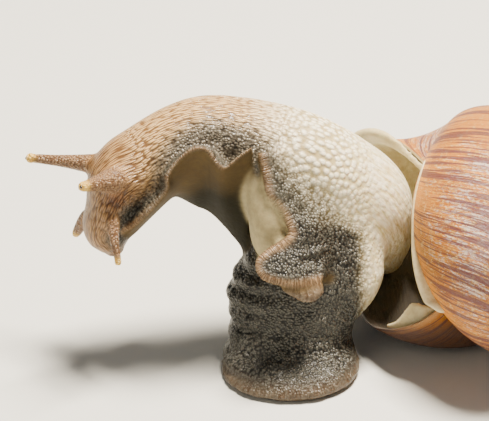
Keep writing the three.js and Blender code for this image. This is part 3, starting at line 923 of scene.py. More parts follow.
        # Round tubercles cover the flank, and finer grains the tail and the foot's edge.
        cobbled = add_node(tree, CELLS, FLAT_CELLS,
                           {"Vector": lie, "Scale": 1 / self.tubercle, "Randomness": 0.8})
        knotted = add_node(tree, CELLS, SOLID_CELLS, {"Vector": place, "Scale": 1 / (self.tubercle * MM)})
        on_spine = add_node(tree, MARK, {"attribute_name": "on_spine"}, output="Fac")
        knobble = add_node(tree, MIX, NUMBER, {0: on_spine, 2: knotted, 3: cobbled})
        knobble_top = add_node(tree, RANGE, SOFT, (knobble, 0.62, 0.16))
        grain = add_node(tree, CELLS, SOLID_CELLS, {"Vector": place, "Scale": 1 / (self.grain * MM)})
        grain_top = add_node(tree, RANGE, SOFT, (grain, 0.78, 0.1))
        mostly_grain = add_node(tree, MATH, TIMES, (grain_top, 0.75))
        grainy = add_node(tree, MATH, TIMES_PLUS, (knobble_top, 0.25, mostly_grain))
        top = add_node(tree, MIX, NUMBER, {0: mark[Region.DUSK], 2: knobble_top, 3: grainy})
        clear = add_node(tree, RANGE, {}, {0: mark[Region.DUSK], 3: 1.0, 4: 0.1})
        ridged = add_node(tree, MATH, TIMES, (mark[Region.NECK], clear))
        for part, over in ((ridged, ridge_top), (mark[Region.FEELER], grain_top),
                           (mark[Region.HEM], stria_top)):
            top = add_node(tree, MIX, NUMBER, {0: part, 2: top, 3: over})
        return top

    def colour(self, tree: bpy.types.NodeTree, mark: dict[Region, bpy.types.NodeSocket],
               top: bpy.types.NodeSocket, drift: bpy.types.NodeSocket,
               wrinkle: bpy.types.NodeSocket) -> bpy.types.NodeSocket:
        """Adds the skin's colours.

        Args:
            tree: The material's node tree.
            mark: The regions.
            top: The skin's pattern.
            drift: Slow patches.
            wrinkle: The wrinkles of the smooth skin.

        Returns:
            The colour.
        """
        furrow, tip = self.base
        for region, low, high in self.palette:
            # Dark furrows spread further up the flank than dark tips do.
            tip_part = add_node(tree, MATH, POWER, (mark[region], 1.8))
            furrow_part = add_node(tree, MATH, POWER, (mark[region], 0.75))
            furrow = add_node(tree, MIX, COLOUR, {0: furrow_part, 6: furrow, 7: low}, 2)
            tip = add_node(tree, MIX, COLOUR, {0: tip_part, 6: tip, 7: high}, 2)
        # Furrows take the dark colours and tips the pale ones: partly the skin's own pattern, partly painted
        # shade in the furrows and painted highlight on the tips.
        colour = add_node(tree, MIX, COLOUR, {0: top, 6: furrow, 7: tip}, 2)
        wrinkles = add_node(tree, RANGE, {}, (wrinkle, 0.32, 0.62))
        smooth = add_node(tree, MIX, COLOUR, {0: wrinkles, 6: "#d3c188", 7: "#fbf4d8"}, 2)
        # Painted shade: the sole's browns are darker than its own tan, because it faces down away from the
        # light.
        lit_sole = add_node(tree, MIX, COLOUR, {0: drift, 6: "#41341f", 7: "#594829"}, 2)
        # Painted shadow: past the shade line the front sole goes to near black.
        sole = add_node(tree, MIX, COLOUR, {0: mark[Region.SHADED_SOLE], 6: lit_sole, 7: "#1a1706"}, 2)
        mantle = add_node(tree, MIX, COLOUR, {0: drift, 6: "#b9a878", 7: "#e4d6ac"}, 2)
        for region, over in ((Region.SMOOTH, smooth), (Region.SOLE, sole), (Region.MANTLE, mantle)):
            colour = add_node(tree, MIX, COLOUR, {0: mark[region], 6: colour, 7: over}, 2)
        return colour


@dataclass(frozen=True)
class WornShell:
    """Snail shell: a horny outer layer, grown line by line at the mouth, over lime.

    The horn is amber with dark growth streaks. Sand and years have worn it through
    to chalky lilac lime in patches, with fine pale scratches.
    """

    rough: float = 0.4
    relief: float = 0.00035
    # Stretch of each pattern: the larger the first number against the second, the
    # longer its marks are along the mouth's edge, as the growth lines run.
    line_shape: tuple[float, float, float] = (1.0, 0.05, 1.0)
    patch_shape: tuple[float, float, float] = (1.0, 0.3, 1.0)
    fleck_shape: tuple[float, float, float] = (1.0, 0.4, 1.0)

    def make(self) -> bpy.types.Material:
        """Builds the material.

        Returns:
            The shell's material, which reads growth angle, mouth angle and side.
        """
        horn = new_finish("worn snail shell")
        tree = horn.node_tree
        growth = add_node(tree, MARK, {"attribute_name": "growth"}, output="Vector")
        mark = {name: add_node(tree, MARK, {"attribute_name": name}, output="Fac")
                for name in ("inside", "rim", "fresh", "under")}
        place = add_node(tree, "ShaderNodeTexCoord", output="Object")
        along = {shape: add_node(tree, MAPPING, {}, {"Vector": growth, "Scale": shape})
                 for shape in (self.line_shape, self.patch_shape, self.fleck_shape)}
        lines = add_node(tree, NOISE, FLAT,
                         {"Vector": along[self.line_shape], "Scale": 2.6, "Detail": 6.0, "Roughness": 0.75})
        # Old scratches break the horny layer into a net of fine pale lines.
        nick = add_node(tree, CELLS, {"voronoi_dimensions": "2D", "feature": "DISTANCE_TO_EDGE"},
                        {"Vector": along[self.patch_shape], "Scale": 1.1})
        nicks = add_node(tree, RANGE, SOFT, (nick, 0.06, 0.0))
        grit = add_node(tree, NOISE, SOLID,
                        {"Vector": place, "Scale": 800.0, "Detail": 5.0, "Roughness": 0.8})
        grits = add_node(tree, RANGE, SOFT, (grit, 0.55, 0.61))
        scratch = add_node(tree, MATH, LARGER, (add_node(tree, MATH, TIMES, (nicks, 0.3)), grits))
        outer = self.outside(tree, mark, along, lines, scratch)
        # Painted shade: the inside of the wall is coloured dark grey, because it lies in shade within the
        # mouth.
        inner = add_node(tree, MIX, COLOUR, {0: lines, 6: "#38332b", 7: "#6b6359"}, 2)
        both = add_node(tree, MIX, COLOUR, {0: mark["inside"], 6: outer, 7: inner}, 2)
        edged = add_node(tree, MIX, COLOUR, {0: mark["rim"], 6: both, 7: "#d9c392"}, 2)
        height = add_node(tree, MATH, TIMES_PLUS, (scratch, -0.25, lines))
        bump = add_node(tree, BUMP, {}, {"Strength": 0.8, "Distance": self.relief, "Height": height})
        gloss = add_node(tree, RANGE, {}, {0: grit, 3: self.rough - 0.1, 4: self.rough + 0.22})
        shader = add_node(tree, "ShaderNodeBsdfPrincipled", {},
                          {"Base Color": edged, "Roughness": gloss, "Normal": bump, "IOR": 1.5,
                           "Coat Weight": 0.12, "Coat Roughness": 0.2, "Coat Normal": bump})
        add_node(tree, "ShaderNodeOutputMaterial", {}, {"Surface": shader})
        return horn

    def outside(self, tree: bpy.types.NodeTree, mark: dict[str, bpy.types.NodeSocket],
                along: dict[tuple[float, float, float], bpy.types.NodeSocket],
                lines: bpy.types.NodeSocket, scratch: bpy.types.NodeSocket) -> bpy.types.NodeSocket:
        """Adds the colours of the outside.

        Args:
            tree: The material's node tree.
            mark: The shell's marks.
            along: The growth lines' place, by its stretch.
            lines: The fine growth lines.
            scratch: The scratches.

        Returns:
            The colour.
        """
        contrast = add_node(tree, RANGE, {}, (lines, 0.36, 0.64))
        slow = add_node(tree, NOISE, FLAT, {"Vector": along[self.line_shape], "Scale": 0.75, "Detail": 5.0,
                                            "Roughness": 0.6, "Distortion": 0.3})
        streak = add_node(tree, RANGE, SOFT, (slow, 0.52, 0.56))
        broad, close = (add_node(tree, NOISE, FLAT, {"Vector": along[self.patch_shape], "Scale": scale,
                                                     "Detail": detail, "Roughness": rough})
                        for scale, detail, rough in ((0.5, 9.0, 0.74), (2.2, 5.0, 0.75)))
        wear = add_node(tree, MIX, NUMBER, {0: 0.55, 2: broad, 3: close})
        wear_left = add_node(tree, MATH, TIMES_PLUS, (mark["fresh"], -0.2, wear))
        worn = add_node(tree, RANGE, SOFT, (wear_left, 0.49, 0.53))
        # The horn varies from rust to yellow in small flecks along the growth lines.
        fleck = add_node(tree, NOISE, FLAT,
                         {"Vector": along[self.fleck_shape], "Scale": 3.4, "Detail": 3.0, "Roughness": 0.7})
        yellow, rust = (add_node(tree, RANGE, SOFT, (fleck, *ends)) for ends in ((0.5, 0.6), (0.46, 0.38)))
        tip = add_node(tree, MIX, COLOUR, {0: yellow, 6: "#d97f1c", 7: "#efbe52"}, 2)
        old_amber = add_node(tree, MIX, COLOUR, {0: contrast, 6: "#6a2604", 7: tip}, 2)
        amber = add_node(tree, MIX, COLOUR, {0: mark["fresh"], 6: old_amber, 7: "#e6911c"}, 2)
        bared = add_node(tree, MIX, COLOUR, {0: contrast, 6: "#8c6070", 7: "#f8ead6"}, 2)
        chalk = add_node(tree, MIX, COLOUR, {0: rust, 6: bared, 7: "#9c4f33"}, 2)
        colour = add_node(tree, MIX, COLOUR, {0: worn, 6: amber, 7: chalk}, 2)
        # The pale scratches and dark streaks are the horn's own; the dark of 'under' is painted shade low on
        # the last whorl and the horn's deeper tone on the shoulder.
        for part, strength, over in ((scratch, 0.55, "#f2d38f"), (streak, 0.8, "#5c2a3a"),
                                     (mark["under"], 0.92, "#33190f")):
            weaker = add_node(tree, MATH, TIMES, (part, strength))
            colour = add_node(tree, MIX, COLOUR, {0: weaker, 6: colour, 7: over}, 2)
        return colour


@dataclass(frozen=True)
class ShellCallus:
    """Callus: the thin pale glaze of lime that the mantle lays down along the mouth.

    It is smoother than the horn beside it and shows no growth lines.
    """

    rough: float = 0.32
    relief: float = 0.0002

    def make(self) -> bpy.types.Material:
        """Builds the material.

        Returns:
            The callus's material.
        """
        glaze = new_finish("shell callus")
        tree = glaze.node_tree
        place = add_node(tree, "ShaderNodeTexCoord", output="Object")
        grain = add_node(tree, NOISE, SOLID,
                         {"Vector": place, "Scale": 1100.0, "Detail": 4.0, "Roughness": 0.65})
        colour = add_node(tree, MIX, COLOUR, {0: grain, 6: "#b39a68", 7: "#f0e2b8"}, 2)
        bump = add_node(tree, BUMP, {}, {"Strength": 0.6, "Distance": self.relief, "Height": grain})
        gloss = add_node(tree, RANGE, {}, {0: grain, 3: self.rough - 0.1, 4: self.rough + 0.2})
        shader = add_node(tree, "ShaderNodeBsdfPrincipled", {},
                          {"Base Color": colour, "Roughness": gloss, "Normal": bump})
        add_node(tree, "ShaderNodeOutputMaterial", {}, {"Surface": shader})
        return glaze


@dataclass(frozen=True)
class EyePoint:
    """A snail's eye: a black, wet bead under clear skin, which gives one sharp highlight."""

    rough: float = 0.12

    def make(self) -> bpy.types.Material:
        """Builds the material.

        Returns:
            The eye's material.
        """
        eye = new_finish("snail eye")
        tree = eye.node_tree
        place = add_node(tree, "ShaderNodeTexCoord", output="Object")
        grain = add_node(tree, NOISE, SOLID, {"Vector": place, "Scale": 3000.0})
        colour = add_node(tree, MIX, COLOUR, {0: grain, 6: "#17120f", 7: "#2c2420"}, 2)
        gloss = add_node(tree, RANGE, {}, {0: grain, 3: self.rough, 4: self.rough + 0.08})
        shader = add_node(tree, "ShaderNodeBsdfPrincipled", {},
                          {"Base Color": colour, "Roughness": gloss,
                           "Coat Weight": 0.6, "Coat Roughness": 0.05})
        add_node(tree, "ShaderNodeOutputMaterial", {}, {"Surface": shader})
        return eye


# -------------------------------------------------------------------- the skin
@dataclass
class Skin:
    """All the snail's flesh as one closed skin."""

    body: Body
    shell: Shell
    voxel: float = 0.485
    # Growth angles that the plug in the shell's mouth fills, and how far it keeps from the wall.
    plug: tuple[float, float] = (-1.75, -0.95)
    plug_inset: float = 1.6
    lining_from: float = -1.1
    lining_inset: tuple[float, float] = (1.45, 2.4)
    # Angles round the mouth, in degrees, that the roll over the lip covers.
    lip: tuple[float, float] = (-168, -66)
    # Angles round the mouth of the pale flap inside the lower lip, with its rise.
    flap: tuple[tuple[float, float], ...] = ((50, 0.8), (62, 2.2), (75, 5.4), (90, 3.2), (104, 1.2))
    # Middle and spread, in layout millimetres, of the painted shade under the near upper feeler's root.
    feeler_shade: tuple[float, float, float] = (-35.6, 3.0, 38.8)
    feeler_shade_wide: float = 2.9
    # Stations of the body's line, and how far from the back's top the dusk begins there, in degrees.
    dusk_from: tuple[tuple[float, float], ...] = (
        (0, 165), (5, 150), (6, 84), (7, 56), (8, 44), (9, 48), (10, 58), (11, 82), (12, 90), (13, 108),
        (14, 150), (16, 180),
    )
    # Places from left to right, and how near the near edge the painted shade of the front sole is darkest
    # there.
    shade_line: tuple[tuple[float, float], ...] = (
        (-29, -0.7), (-23, -0.9), (-18.5, -0.26), (-14, 0.24), (-10.3, 0.28), (-8, 0.14),
    )
    # The relief's sizes in millimetres, by the names of the tree's inputs.
    relief_sizes: tuple[tuple[str, float], ...] = (
        ("Height", 0.22), ("Tubercle", 1.1), ("Fold", 3.6), ("Fold height", 0.3),
    )

    def solids(self) -> dict[str, Form]:
        """Makes every form that the skin is joined from.

        Returns:
            The forms by name.
        """
        solids = {"spine": oval_form(self.body.spine, 12, 72, start_dome=1.6, end_dome=4),
                  "tail": self.body.tail_form(),
                  "pad": oval_form(self.body.sole_pad, 10, 40, 1.5, 1.5),
                  "curl": oval_form(self.body.curl, 8, 24, 0.8, 1.2)}
        self.strip_marks = {}
        solids["band"], self.strip_marks["band"] = strip_form(self.body.foot_band, 0.6, 1.5, 14, 120)
        solids["lobe"], self.strip_marks["lobe"] = strip_form(self.body.foot_lobe, 0.8, 5.0, 12, 96)
        for name, feeler in FEELERS.items():
            solids[name], solids[name + "_knob"] = feeler.forms()
        phi = np.linspace(-np.pi, np.pi, 64, endpoint=False)
        plug = [self.shell.mouth_point(np.full(64, theta), phi, self.plug_inset)
                for theta in np.linspace(*self.plug, 14)]
        solids["plug"] = Form.from_rings(np.array(plug))
        solids["lining"] = self.lining()
        solids["lip"] = self.lip_roll()
        solids["fold"] = self.fold()
        return solids

    def lining(self) -> Form:
        """Makes the thin collar of mantle between the plug and the mouth's edge.

        Returns:
            The collar, as the wall of a tube.
        """
        phi = np.linspace(-np.pi, np.pi, 96, endpoint=False)
        degrees = np.degrees(phi)
        # It reaches the lip above and stays deep inside below, where the wall shows.
        bare = np.exp(-(degrees - 12) ** 2 / (2 * 28 ** 2))
        over = np.exp(-((degrees + 130 + 180) % 360 - 180) ** 2 / (2 * 40 ** 2))
        length = -0.02 + 0.17 * over - 0.95 * bare - self.lining_from
        # Its outer face swells against the wall at the lip and leaves no gap there.
        swell = 0.95 * np.minimum(over * 1.6, 1)
        outer, inner = self.lining_inset
        parts = np.linspace(0, 1, 10)
        out = [self.shell.mouth_point(self.lining_from + length * part, phi, outer - swell * part ** 2)
               for part in parts]
        back = [self.shell.mouth_point(self.lining_from + length * part, phi, inner) for part in parts[::-1]]
        rings = np.array(out + back)
        rows, size, _ = rings.shape
        faces = []
        for row in range(rows):
            here, after = row * size, (row + 1) % rows * size
            for i in range(size):
                j = (i + 1) % size
                faces.append((here + i, here + j, after + j, after + i))
        return Form(rings.reshape(-1, 3), faces).facing_out()

    def fold(self) -> Form:
        """Makes the pale flap of mantle that stands up inside the lower lip.

        Returns:
            The closed form.
        """
        stations = []
        for phi, rise in self.flap:
            foot = self.shell.mouth_point(np.array([-0.04]), np.radians([phi]), 1.2)[0]
            edge = foot + np.array([0.05, 0.4, 0.85]) * rise
            stations.append(Strip(tuple(edge), tuple(foot), 0.7))
        return strip_form(stations, 0.6, 0.6, 8, 24)[0]

    def lip_roll(self) -> Form:
        """Makes the soft roll of mantle over the upper lip.

        Returns:
            The closed form.
        """
        count = 40
        phis = np.radians(np.linspace(*self.lip, count))
        # It comes down on the lip itself towards the whorl beside the mouth.
        ahead = np.interp(np.degrees(phis), [-168, -150, -132, -112], [0.03, 0.05, 0.1, 0.16])
        line = self.shell.mouth_point(ahead, phis, 0.4)
        along = unit(np.gradient(line, axis=0))
        inside, outside = (self.shell.mouth_point(np.full(count, theta), phis) for theta in (0.0, 0.3))
        mouth = unit(outside - inside)
        side = np.cross(along, mouth)
        bulge = np.sqrt(np.clip(np.sin(np.linspace(0.02, np.pi - 0.02, count)), 0, 1))
        thick = bulge * np.linspace(1.5, 1.9, count) * (1 + 0.12 * np.sin(np.linspace(0, 19, count)))
        return Form.from_rings(ring_rows(line, mouth, side, thick, thick))

    def spine_place(self, points: np.ndarray) -> tuple[np.ndarray, np.ndarray, np.ndarray]:
        """Where points lie along and round the body's line.

        Args:
            points: Points in layout millimetres.

        Returns:
            Station number, distance along in millimetres, and angle from the back's top.
        """
        where = np.linspace(0, len(self.body.spine) - 1, 700)
        middle, along, across, up, _, _ = oval_frame(self.body.spine, where)
        path = run(middle)
        best = np.empty(len(points), int)
        batch = 4000
        for start in range(0, len(points), batch):
            part = points[start:start + batch]
            far = ((part[:, None] - middle[None]) ** 2).sum(-1)
            best[start:start + batch] = far.argmin(1)
        off = points - middle[best]
        slide = np.clip((off * along[best]).sum(1), -0.5, 0.5)
        angle = np.arctan2((off * across[best]).sum(1), (off * up[best]).sum(1))
        return where[best], path[best] + slide, angle

    def edge_place(self, points: np.ndarray) -> tuple[np.ndarray, np.ndarray]:
        """Where points lie beside the foot's near edges.

        Args:
            points: Points in layout millimetres.

        Returns:
            Distance from the edge, and distance along it, in millimetres.
        """
        lines = [blend_rows(flat_rows(stations), np.linspace(0, len(stations) - 1, 240))[:, :3]
                 for stations in (self.body.foot_band, self.body.foot_lobe)]
        return Nearest(np.vstack(lines), np.hstack([run(line) for line in lines])).look(points)

    def distances(self, points: np.ndarray, solids: dict[str, Form]) -> dict[str, np.ndarray]:
        """How far each point is from each form, with the strips' own marks.

        Args:
            points: The skin's points in layout millimetres.
            solids: The forms that it was joined from.

        Returns:
            Distances by form, and under and edge marks by strip.
        """
        found = {}
        for name, form in solids.items():
            found[name], marks = Nearest(form.points, self.strip_marks.get(name)).look(points)
            if marks is not None:
                found[name + "_under"], found[name + "_edge"] = marks.T
        for name in FEELERS:
            found[name] = np.minimum(found[name], found[name + "_knob"])
        return found

    def marks(self, points: np.ndarray, far: dict[str, np.ndarray],
              relaxer: Relaxer) -> dict[str, np.ndarray]:
        """Works out the skin's regions.

        Args:
            points: The skin's points in layout millimetres.
            far: Distances to the forms.
            relaxer: Averages over the skin.

        Returns:
            The values of each region, and the lie of the ridges.
        """
        right, _, high = points.T
        near = {name: fade(value, 0.5, 1.8) for name, value in far.items()}
        station, path, angle = self.spine_place(points)
        steep = np.degrees(np.abs(angle))
        trunk_dusk = smooth_step(steep - np.interp(station, *zip(*self.dusk_from)), -26, 18)
        feelers = np.max([fade(far[name], 0.4, 1.2) for name in FEELERS], axis=0)
        feelers = feelers * smooth_step(far["spine"], 0.2, 1.6)
        on_spine = fade(far["spine"] - np.minimum(far["tail"], 3), -0.5, 2.0)
        clear = 1 - near["spine"]
        pad = near["pad"] * clear
        # The foot: its sole, its hem and the flesh beside the hem.
        front = far["band"] < far["lobe"]
        thin = np.maximum(near["band"], near["lobe"])
        strip_under, strip_edge = (np.where(front, far["band" + side], far["lobe" + side])
                                   for side in ("_under", "_edge"))
        outer = smooth_step(far["spine"] - np.minimum(far["band"], far["lobe"]), -0.7, 0.1)
        sole = np.maximum(thin * smooth_step(strip_under, -0.05, 0.3) * outer, pad)
        edge_far, edge_along = self.edge_place(points)
        # The hem is a broad welt on the lobe and a mere line along the front.
        hem_wide = np.where(front, 0.9, 2.0)
        hem = thin * fade(edge_far, 0.6 * hem_wide, hem_wide) * outer
        beside_hem = fade(edge_far, 3.4, 5.8) * (1 - hem) * fade(station, 7, 9)
        skirt = near["tail"] * fade(high, 1.2, 4.5) * (1 - on_spine)
        hem = np.maximum.reduce([hem, skirt * 0.45, near["curl"] * clear * 0.6])
        # Painted shade: the front sole grows darker away from its near edge, and darkest past a line along
        # it, where the body's own shadow falls on it.
        past = strip_edge - np.interp(right, *zip(*self.shade_line))
        shade = 0.5 * smooth_step(past, 0.7, 0.05) + 0.5 * smooth_step(past, 0.16, -0.16)
        mantle = np.maximum.reduce([near["plug"], near["lining"], near["lip"], near["fold"]])
        mantle = np.maximum(mantle * fade(near["spine"], 0.5, 1.0), pad * 0.6)
        inside_shell = smooth_step(right, 13.6, 17.4)
        # The dusk runs out softly on the flank behind the tail.
        behind = smooth_step(right, 7, 11) * fade(right, 13.0, 19.5) * 0.85 * fade(high, 25, 37)
        dusk = np.maximum.reduce([0.95 * trunk_dusk, 1 - on_spine, beside_hem])
        dusk = np.maximum(np.clip(dusk, 0, 1) * (1 - feelers) * (1 - inside_shell), behind)
        bare_trunk = smooth_step(station, 10.6, 13.0) * (1 - trunk_dusk) * on_spine
        regions = {
            Region.NECK: fade(station, 8.4, 11.6) * on_spine,
            Region.HEAD: fade(station, 4.5, 7.0) * on_spine,
            # Painted shade under the near upper feeler's root.
            Region.FEELER_SHADE: np.exp(-((points - np.array(self.feeler_shade)) ** 2).sum(1) / (2 * self.feeler_shade_wide ** 2)),
            Region.DUSK: dusk,
            Region.FLANK: trunk_dusk * on_spine * fade(station, 9.0, 10.5) * (1 - beside_hem) * (1 - feelers),
            Region.SMOOTH: np.maximum(bare_trunk, inside_shell) * (1 - thin) * (1 - behind),
            Region.SOLE: sole,
            Region.SHADED_SOLE: sole * np.where(front, shade, 0.0),
            Region.HEM: hem,
            Region.FEELER: feelers,
            Region.KNOB: np.max([fade(far[name + "_knob"], 0.15, 0.5) for name in FEELERS], axis=0),
            Region.MANTLE: mantle,
        }
        soft = (Region.SHADED_SOLE, Region.DUSK)
        values = {region.value: relaxer.relax(np.clip(value, 0, 1), 14 if region in soft else 3)
                  for region, value in regions.items()}
        values["on_spine"] = on_spine
        none = np.zeros(len(points))
        values["lie"] = np.stack([path, angle * self.body.girth, none], 1)
        # The skirt's lines stand upright round the tail.
        round_tail = np.arctan2(points[:, 1], right) * self.body.tail_girth
        at_skirt = skirt > 0.2
        values["hem_lie"] = np.stack([np.where(at_skirt, round_tail, edge_along),
                                      np.where(at_skirt, high, edge_far), none], 1)
        return values

    def relief(self) -> bpy.types.NodeTree:
        """Geometry Nodes that raise the tubercles and slow folds from the skin.

        Returns:
            The tree, with its heights and sizes as named inputs.
        """
        tree = bpy.data.node_groups.new("skin relief", "GeometryNodeTree")
        face = tree.interface
        for way in ("INPUT", "OUTPUT"):
            face.new_socket("Geometry", in_out=way, socket_type="NodeSocketGeometry")
        for name, size in self.relief_sizes:
            face.new_socket(name, in_out="INPUT", socket_type="NodeSocketFloat").default_value = size * MM
        face.new_socket("Skin", in_out="INPUT", socket_type="NodeSocketMaterial")
        given = add_node(tree, "NodeGroupInput").node.outputs
        mark = {name: add_node(tree, "GeometryNodeInputNamedAttribute", NUMBER, {"Name": name})
                for name in ("neck", "sole", "smooth", "mantle", "feeler", "low", "dusk", "on_spine")}
        lie = add_node(tree, "GeometryNodeInputNamedAttribute", {"data_type": "FLOAT_VECTOR"},
                       {"Name": "lie"})
        place = add_node(tree, "GeometryNodeInputPosition")
        normal = add_node(tree, "GeometryNodeInputNormal")
        # Tubercles lie along the body where it has a line, and anywhere in space elsewhere.
        size = add_node(tree, MATH, SHARE, (1.0, given["Tubercle"]))
        flat_size = add_node(tree, MATH, TIMES, (size, MM))
        knotted = add_node(tree, CELLS, SOLID_CELLS, {"Vector": place, "Scale": size})
        cobbled = add_node(tree, CELLS, FLAT_CELLS, {"Vector": lie, "Scale": flat_size, "Randomness": 0.8})
        knobble = add_node(tree, MIX, NUMBER, {0: mark["on_spine"], 2: knotted, 3: cobbled})
        knob = add_node(tree, RANGE, SOFT, (knobble, 0.7, 0.2, -0.5, 0.5))
        off_neck = add_node(tree, MATH, MINUS, (1.0, mark["neck"]))
        off_dusk = add_node(tree, RANGE, {}, {0: mark["dusk"], 3: 1.0, 4: 0.25})
        knobs = add_node(tree, MATH, TIMES, (add_node(tree, MATH, TIMES, (knob, off_neck)), off_dusk))
        # Slow folds run over the dark flesh of the tail and the flank.
        wave = add_node(tree, MATH, SHARE, (1.0, given["Fold"]))
        fold = add_node(tree, NOISE, SOLID, {"Vector": place, "Scale": wave, "Detail": 2.0})
        folded = add_node(tree, MATH, MINUS, (fold, 0.5))
        strength = add_node(tree, MATH, TIMES, (mark["dusk"], 4.0))
        folds = add_node(tree, MATH, TIMES, (folded, strength))
        folds_high = add_node(tree, MATH, TIMES, (folds, given["Fold height"]))
        rise = add_node(tree, MATH, TIMES_PLUS, (knobs, given["Height"], folds_high))
        calm = mark["sole"]
        for name in ("smooth", "mantle", "feeler", "low"):
            calm = add_node(tree, MATH, LARGER, (calm, mark[name]))
        keep = add_node(tree, MATH, {**MINUS, "use_clamp": True}, (1.0, calm))
        lift = add_node(tree, MATH, TIMES, (rise, keep))
        offset = add_node(tree, "ShaderNodeVectorMath", {"operation": "SCALE"}, {0: normal, 3: lift})
        moved = add_node(tree, "GeometryNodeSetPosition", {},
                         {"Geometry": given["Geometry"], "Offset": offset})
        real = add_node(tree, "GeometryNodeRealizeInstances", {}, {"Geometry": moved})
        dressed = add_node(tree, "GeometryNodeSetMaterial", {}, {"Geometry": real, "Material": given["Skin"]})
        add_node(tree, "NodeGroupOutput", {}, {"Geometry": dressed})
        return tree

    def softened(self, points: np.ndarray, far: dict[str, np.ndarray], relaxer: Relaxer) -> np.ndarray:
        """Lets neighbouring forms run into each other without a crease; free edges stay thin.

        Args:
            points: The skin's points in layout millimetres.
            far: Distances to the forms.
            relaxer: Averages over the skin.

        Returns:
            The moved points, none below the floor.
        """
        station, _, _ = self.spine_place(points)
        names = ("spine", "tail", "band", "lobe", "pad", "curl", *FEELERS)
        second = np.sort([far[name] for name in names], axis=0)[1]
        free = np.maximum(*(fade(far[name], 0.5, 1.5) * smooth_step(far[name + "_edge"], 0.4, 0.8)
                            for name in ("band", "lobe")))
        stalk = fade(np.min([far[name] for name in FEELERS], axis=0), 0.5, 1.2)
        meet = fade(second, 1.0, 4.0) * (1 - free) * (1 - stalk)
        meet = np.maximum(meet, stalk * fade(second, 0.3, 1.4))
        broad = fade(np.maximum(far["spine"], far["tail"]), 1.0, 5.0) * smooth_step(station, 8, 10)
        points = relaxer.relax(points, 100, np.clip(broad * (1 - free), 0, 1))
        points = relaxer.relax(points, 24, np.clip(meet, 0, 1))
        points = relaxer.relax(points, 3, 1 - 0.8 * stalk)
        points[:, 2] = np.maximum(points[:, 2], 0.0)
        return points

    def build(self, finish: bpy.types.Material) -> bpy.types.Object:
        """Joins, relaxes and dresses the skin.

        Args:
            finish: Its material.

        Returns:
            The finished skin.
        """
        solids = self.solids()
        piece = Form.joined(list(solids.values())).to_object("skin")
        remesh = piece.modifiers.new("join", "REMESH")
        remesh.mode, remesh.voxel_size, remesh.adaptivity = "VOXEL", self.voxel * MM, 0.0
        ready_mesh(piece)
        relaxer = Relaxer(piece.data)
        points = mesh_points(piece.data) / MM - LAYOUT_SHIFT
        far = self.distances(points, solids)
        points = self.softened(points, far, relaxer)
        set_mesh_points(piece.data, (points + LAYOUT_SHIFT) * MM)
        for name, value in self.marks(points, far, relaxer).items():
            store(piece.data, name, value)
        store(piece.data, "low", fade(points[:, 2], 0.3, 1.2))
        tree = self.relief()
        nodes = piece.modifiers.new("relief", "NODES")
        nodes.node_group = tree
        keys = {item.name: item.identifier for item in tree.interface.items_tree if item.in_out == "INPUT"}
        for name, size in self.relief_sizes:
            nodes[keys[name]] = size * MM
        nodes[keys["Skin"]] = finish
        ready_mesh(piece)
        raised = mesh_points(piece.data)
        raised[:, 2] = np.maximum(raised[:, 2], 0.0)
        set_mesh_points(piece.data, raised)
        dress(piece, finish)
        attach(piece, "root")
        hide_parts("head", "neck", "trunk", "tail", "foot_front", "foot_lobe", "mantle_collar",
                    "mantle_roll", "upper_feeler_far", "upper_feeler_near", "lower_feeler_far",
                    "lower_feeler_near")
        return piece


@dataclass
class Eye:
    """The small black eye at the tip of an upper feeler."""

    feeler: str
    radius: float = 0.36
    deep: float = 0.3

    def build(self, finish: bpy.types.Material) -> bpy.types.Object:
        """Builds and dresses the eye.

        Args:
            finish: Its material.

        Returns:
            The finished eye.
        """
        feeler = FEELERS[self.feeler]
        centre = np.array(feeler.line[-1]) + unit(np.array(feeler.look)) * (feeler.knob - self.deep)
        node = self.feeler.replace("upper_feeler", "eye")
        piece = ball_form(centre, self.radius).to_object(node + "_ball")
        dress(piece, finish)
        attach(piece, "root")
        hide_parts(node)
        return piece


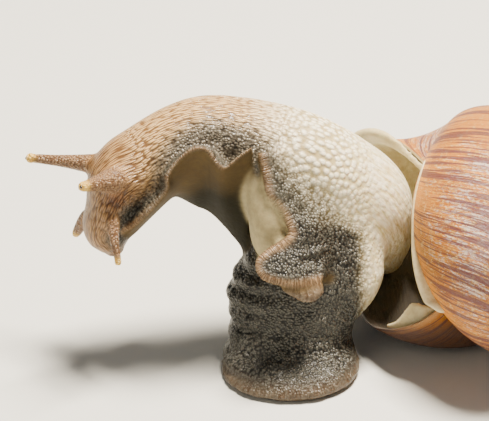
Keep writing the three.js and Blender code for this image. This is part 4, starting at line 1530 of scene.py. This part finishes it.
@dataclass
class Studio:
    """Pale floor, soft light and the camera."""

    target: tuple[float, float, float] = (-9.34, 10.0, 32.36)
    elevation: float = math.radians(28)
    away: float = 1200.0
    wide: float = 100.41
    sensor: float = 36.0
    # Name, place from the target in metres, watts and size of each light.
    lights: tuple[tuple[str, tuple[float, float, float], float, float], ...] = (
        ("key", (0.12, 0.1, 0.62), 22.0, 0.2), ("fill", (-0.5, -0.6, 0.45), 1.8, 0.6),
    )

    def build(self) -> None:
        """Makes the floor, the camera, the lights and the room's own light."""
        self.build_floor()
        middle = Vector((np.array(self.target) + LAYOUT_SHIFT) * MM)
        back = Vector((0, -math.cos(self.elevation), math.sin(self.elevation)))
        lens = bpy.data.cameras.new("camera")
        lens.sensor_width = self.sensor
        lens.lens = self.sensor * self.away / self.wide
        lens.clip_start, lens.clip_end = 0.05, 20.0
        bpy.context.scene.camera = self.aimed(lens, middle, back * self.away * MM)
        for name, at, watts, size in self.lights:
            lamp = bpy.data.lights.new(name, "AREA")
            lamp.energy, lamp.size = watts, size
            lamp.color = linear("#fff2de")[:3]
            self.aimed(lamp, middle, Vector(at))
        world = bpy.data.worlds.new("soft room")
        world.use_nodes = True
        world.node_tree.nodes["Background"].inputs["Color"].default_value = linear("#e9edf0")
        world.node_tree.nodes["Background"].inputs["Strength"].default_value = 0.17
        bpy.context.scene.world = world

    def build_floor(self) -> None:
        """Makes the floor, six metres square."""
        mesh = bpy.data.meshes.new("floor")
        mesh.from_pydata([(-3, -3, 0), (3, -3, 0), (3, 3, 0), (-3, 3, 0)], [], [(0, 1, 2, 3)])
        paper = new_finish("pale floor")
        shader = add_node(paper.node_tree, "ShaderNodeBsdfPrincipled", {},
                          {"Base Color": "#d9dad6", "Roughness": 0.8})
        add_node(paper.node_tree, "ShaderNodeOutputMaterial", {}, {"Surface": shader})
        mesh.materials.append(paper)
        floor = bpy.data.objects.new("floor", mesh)
        bpy.context.scene.collection.objects.link(floor)

    @staticmethod
    def aimed(data: bpy.types.Camera | bpy.types.Light, middle: Vector, away: Vector) -> bpy.types.Object:
        """Places a camera or a light and turns it to a point.

        Args:
            data: The camera or light, whose name the object gets.
            middle: The point that it looks at, in metres.
            away: From there to its place, in metres.

        Returns:
            The new object.
        """
        made = bpy.data.objects.new(data.name, data)
        made.location = middle + away
        made.rotation_euler = (-away).to_track_quat("-Z", "Y").to_euler()
        bpy.context.scene.collection.objects.link(made)
        return made


def main() -> None:
    """Builds the snail's pieces in order."""
    logging.basicConfig(level=logging.INFO, format="%(name)s: %(message)s")
    Studio().build()
    shell = Shell()
    Skin(Body(), shell).build(WetSkin().make())
    shell.build(WornShell().make())
    shell.build_callus(ShellCallus().make())
    eye_point = EyePoint().make()
    for feeler in ("upper_feeler_near", "upper_feeler_far"):
        Eye(feeler).build(eye_point)


if __name__ == "__main__":
    main()
